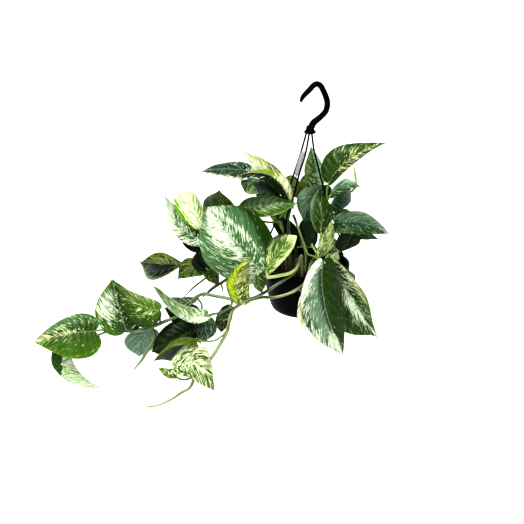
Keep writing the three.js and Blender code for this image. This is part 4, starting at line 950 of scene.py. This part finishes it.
# Three shoots fill the back of the crown, with leaves that stand and leaves that hang over the rim.
grow("shoot_back_left", "296 252 -30, 294 242 -40, 288 234 -50, 284 228 -54", [
    Leaf("back_hanging_left", "284 238 -86, 281 262 -106, 276 298 -108, 266 268 -98, 294 271 -102",
        "grass", "cream", 0.3, "0.7 0.4 0.4 0.4 0.3"),
    Leaf("back_left", "262 244 -50, 244 246 -60, 222 254 -64, 250 262 -48, 250 230 -72",
        "leaf", "cream", 0.2, "-0.7 0.5 0.4 0.5 0.4", foot="288 234 -50"),
    Leaf("dark_middle", "300 240 -24, 286 231 -20, 272 224 -16, 288 243 -14, 289 220 -26",
        "deep", "leaf", 0.1, foot="295 247 -35"),
    Leaf("back_upright_left", "280 222 -60, 275 204 -76, 268 186 -88, 267 209 -72, 287 205 -82",
        "leaf", "white", 0.3),
], **OLD_STEM)
grow("shoot_back_middle", "307 250 -36, 307 240 -48, 306 232 -58, 308 226 -60", [
    Leaf("back_hanging_middle", "306 236 -90, 308 260 -110, 311 298 -112, 295 266 -106, 322 266 -106",
        "leaf", "cream", 0.4, "-0.6 0.5 0.4 0.5 0.25", foot="306 232 -58"),
    Leaf("back_upright_middle", "312 222 -66, 315 205 -84, 320 188 -100, 304 208 -82, 327 210 -88",
        "grass", "cream", 0.2),
], **OLD_STEM)
grow("shoot_back_right", "322 252 -30, 326 242 -40, 331 234 -50, 334 228 -52", [
    Leaf("back_hanging_right", "333 237 -80, 336 260 -92, 339 294 -92, 321 266 -94, 347 268 -84",
        "leaf", "white", 0.25, "0.6 0.6 0.4 0.4 0.3", foot="331 234 -50"),
    Leaf("back_right", "341 224 -58, 354 221 -68, 368 226 -76, 350 215 -80, 350 233 -58",
        "grass", "cream", 0.35),
], **OLD_STEM)


# The surroundings: a plain pale floor well below the hanging plant, and plain soft studio light from
# a large lamp above and to the left, with weaker ones before and behind and a white surround, which
# the camera sees full white and the plant at a third of that.
FLOOR_DROP = 0.42
FLOOR_HALF = 9.0
SENSOR = 36.0
height = CAD_BOX[0][2] - FLOOR_DROP
floor_mesh = bpy.data.meshes.new("floor")
corners = [(x * FLOOR_HALF, y * FLOOR_HALF, height) for x, y in ((-1, -1), (1, -1), (1, 1), (-1, 1))]
floor_mesh.from_pydata(corners, [], [(0, 1, 2, 3)])
floor = stand("floor", floor_mesh)
floor_white, tree = new_material("matt_white_floor")
sheet = add(tree, "BsdfPrincipled", {"Base Color": linear("#f9f9f8"), "Roughness": 0.9})
add(tree, "OutputMaterial", {"Surface": sheet})
floor_mesh.materials.append(floor_white)

# Each lamp's strength, width (for the sun its angle), place and turn.
lamps = {
    "key": ("SUN", 3.5, np.radians(22), (-1.1, -1.2, 2.2), (38, 0, -38)),
    "front": ("AREA", 8.0, 1.4, (-0.2, -1.9, 0.5), (76, 0, -6)),
    "back": ("AREA", 14.0, 1.4, (0.2, 1.9, 0.6), (-72, 0, 6)),
}
for name, (kind, strength, width, where, turn) in lamps.items():
    light = bpy.data.lights.new(name, kind)
    light.energy = strength
    setattr(light, "angle" if kind == "SUN" else "size", width)
    lamp = stand(name, light)
    lamp.location, lamp.rotation_euler = where, np.radians(turn)

# The camera stands where the plant is seen from, with the view's width in its frame.
camera = stand("camera", bpy.data.cameras.new("camera"))
camera.data.sensor_width = SENSOR
camera.data.lens = SENSOR * EYE_DISTANCE / (IMAGE_STEPS * STEP)
camera.location = to_frame(EYE)
camera.rotation_euler = (np.pi / 2 - TILT, 0, 0)
bpy.context.scene.camera = camera
world = bpy.data.worlds.new("studio")
bpy.context.scene.world = world
world.use_nodes = True
surround = world.node_tree.nodes["Background"]
surround.inputs["Color"].default_value = linear("#ffffff")
brightness = add(world.node_tree, "MapRange", {
    "Value": add(world.node_tree, "LightPath"), "To Min": 0.34, "To Max": 1.0})
world.node_tree.links.new(brightness.outputs["Result"], surround.inputs["Strength"])
bpy.context.scene.view_settings.view_transform = "Standard"
bpy.context.scene.view_settings.look = "High Contrast"
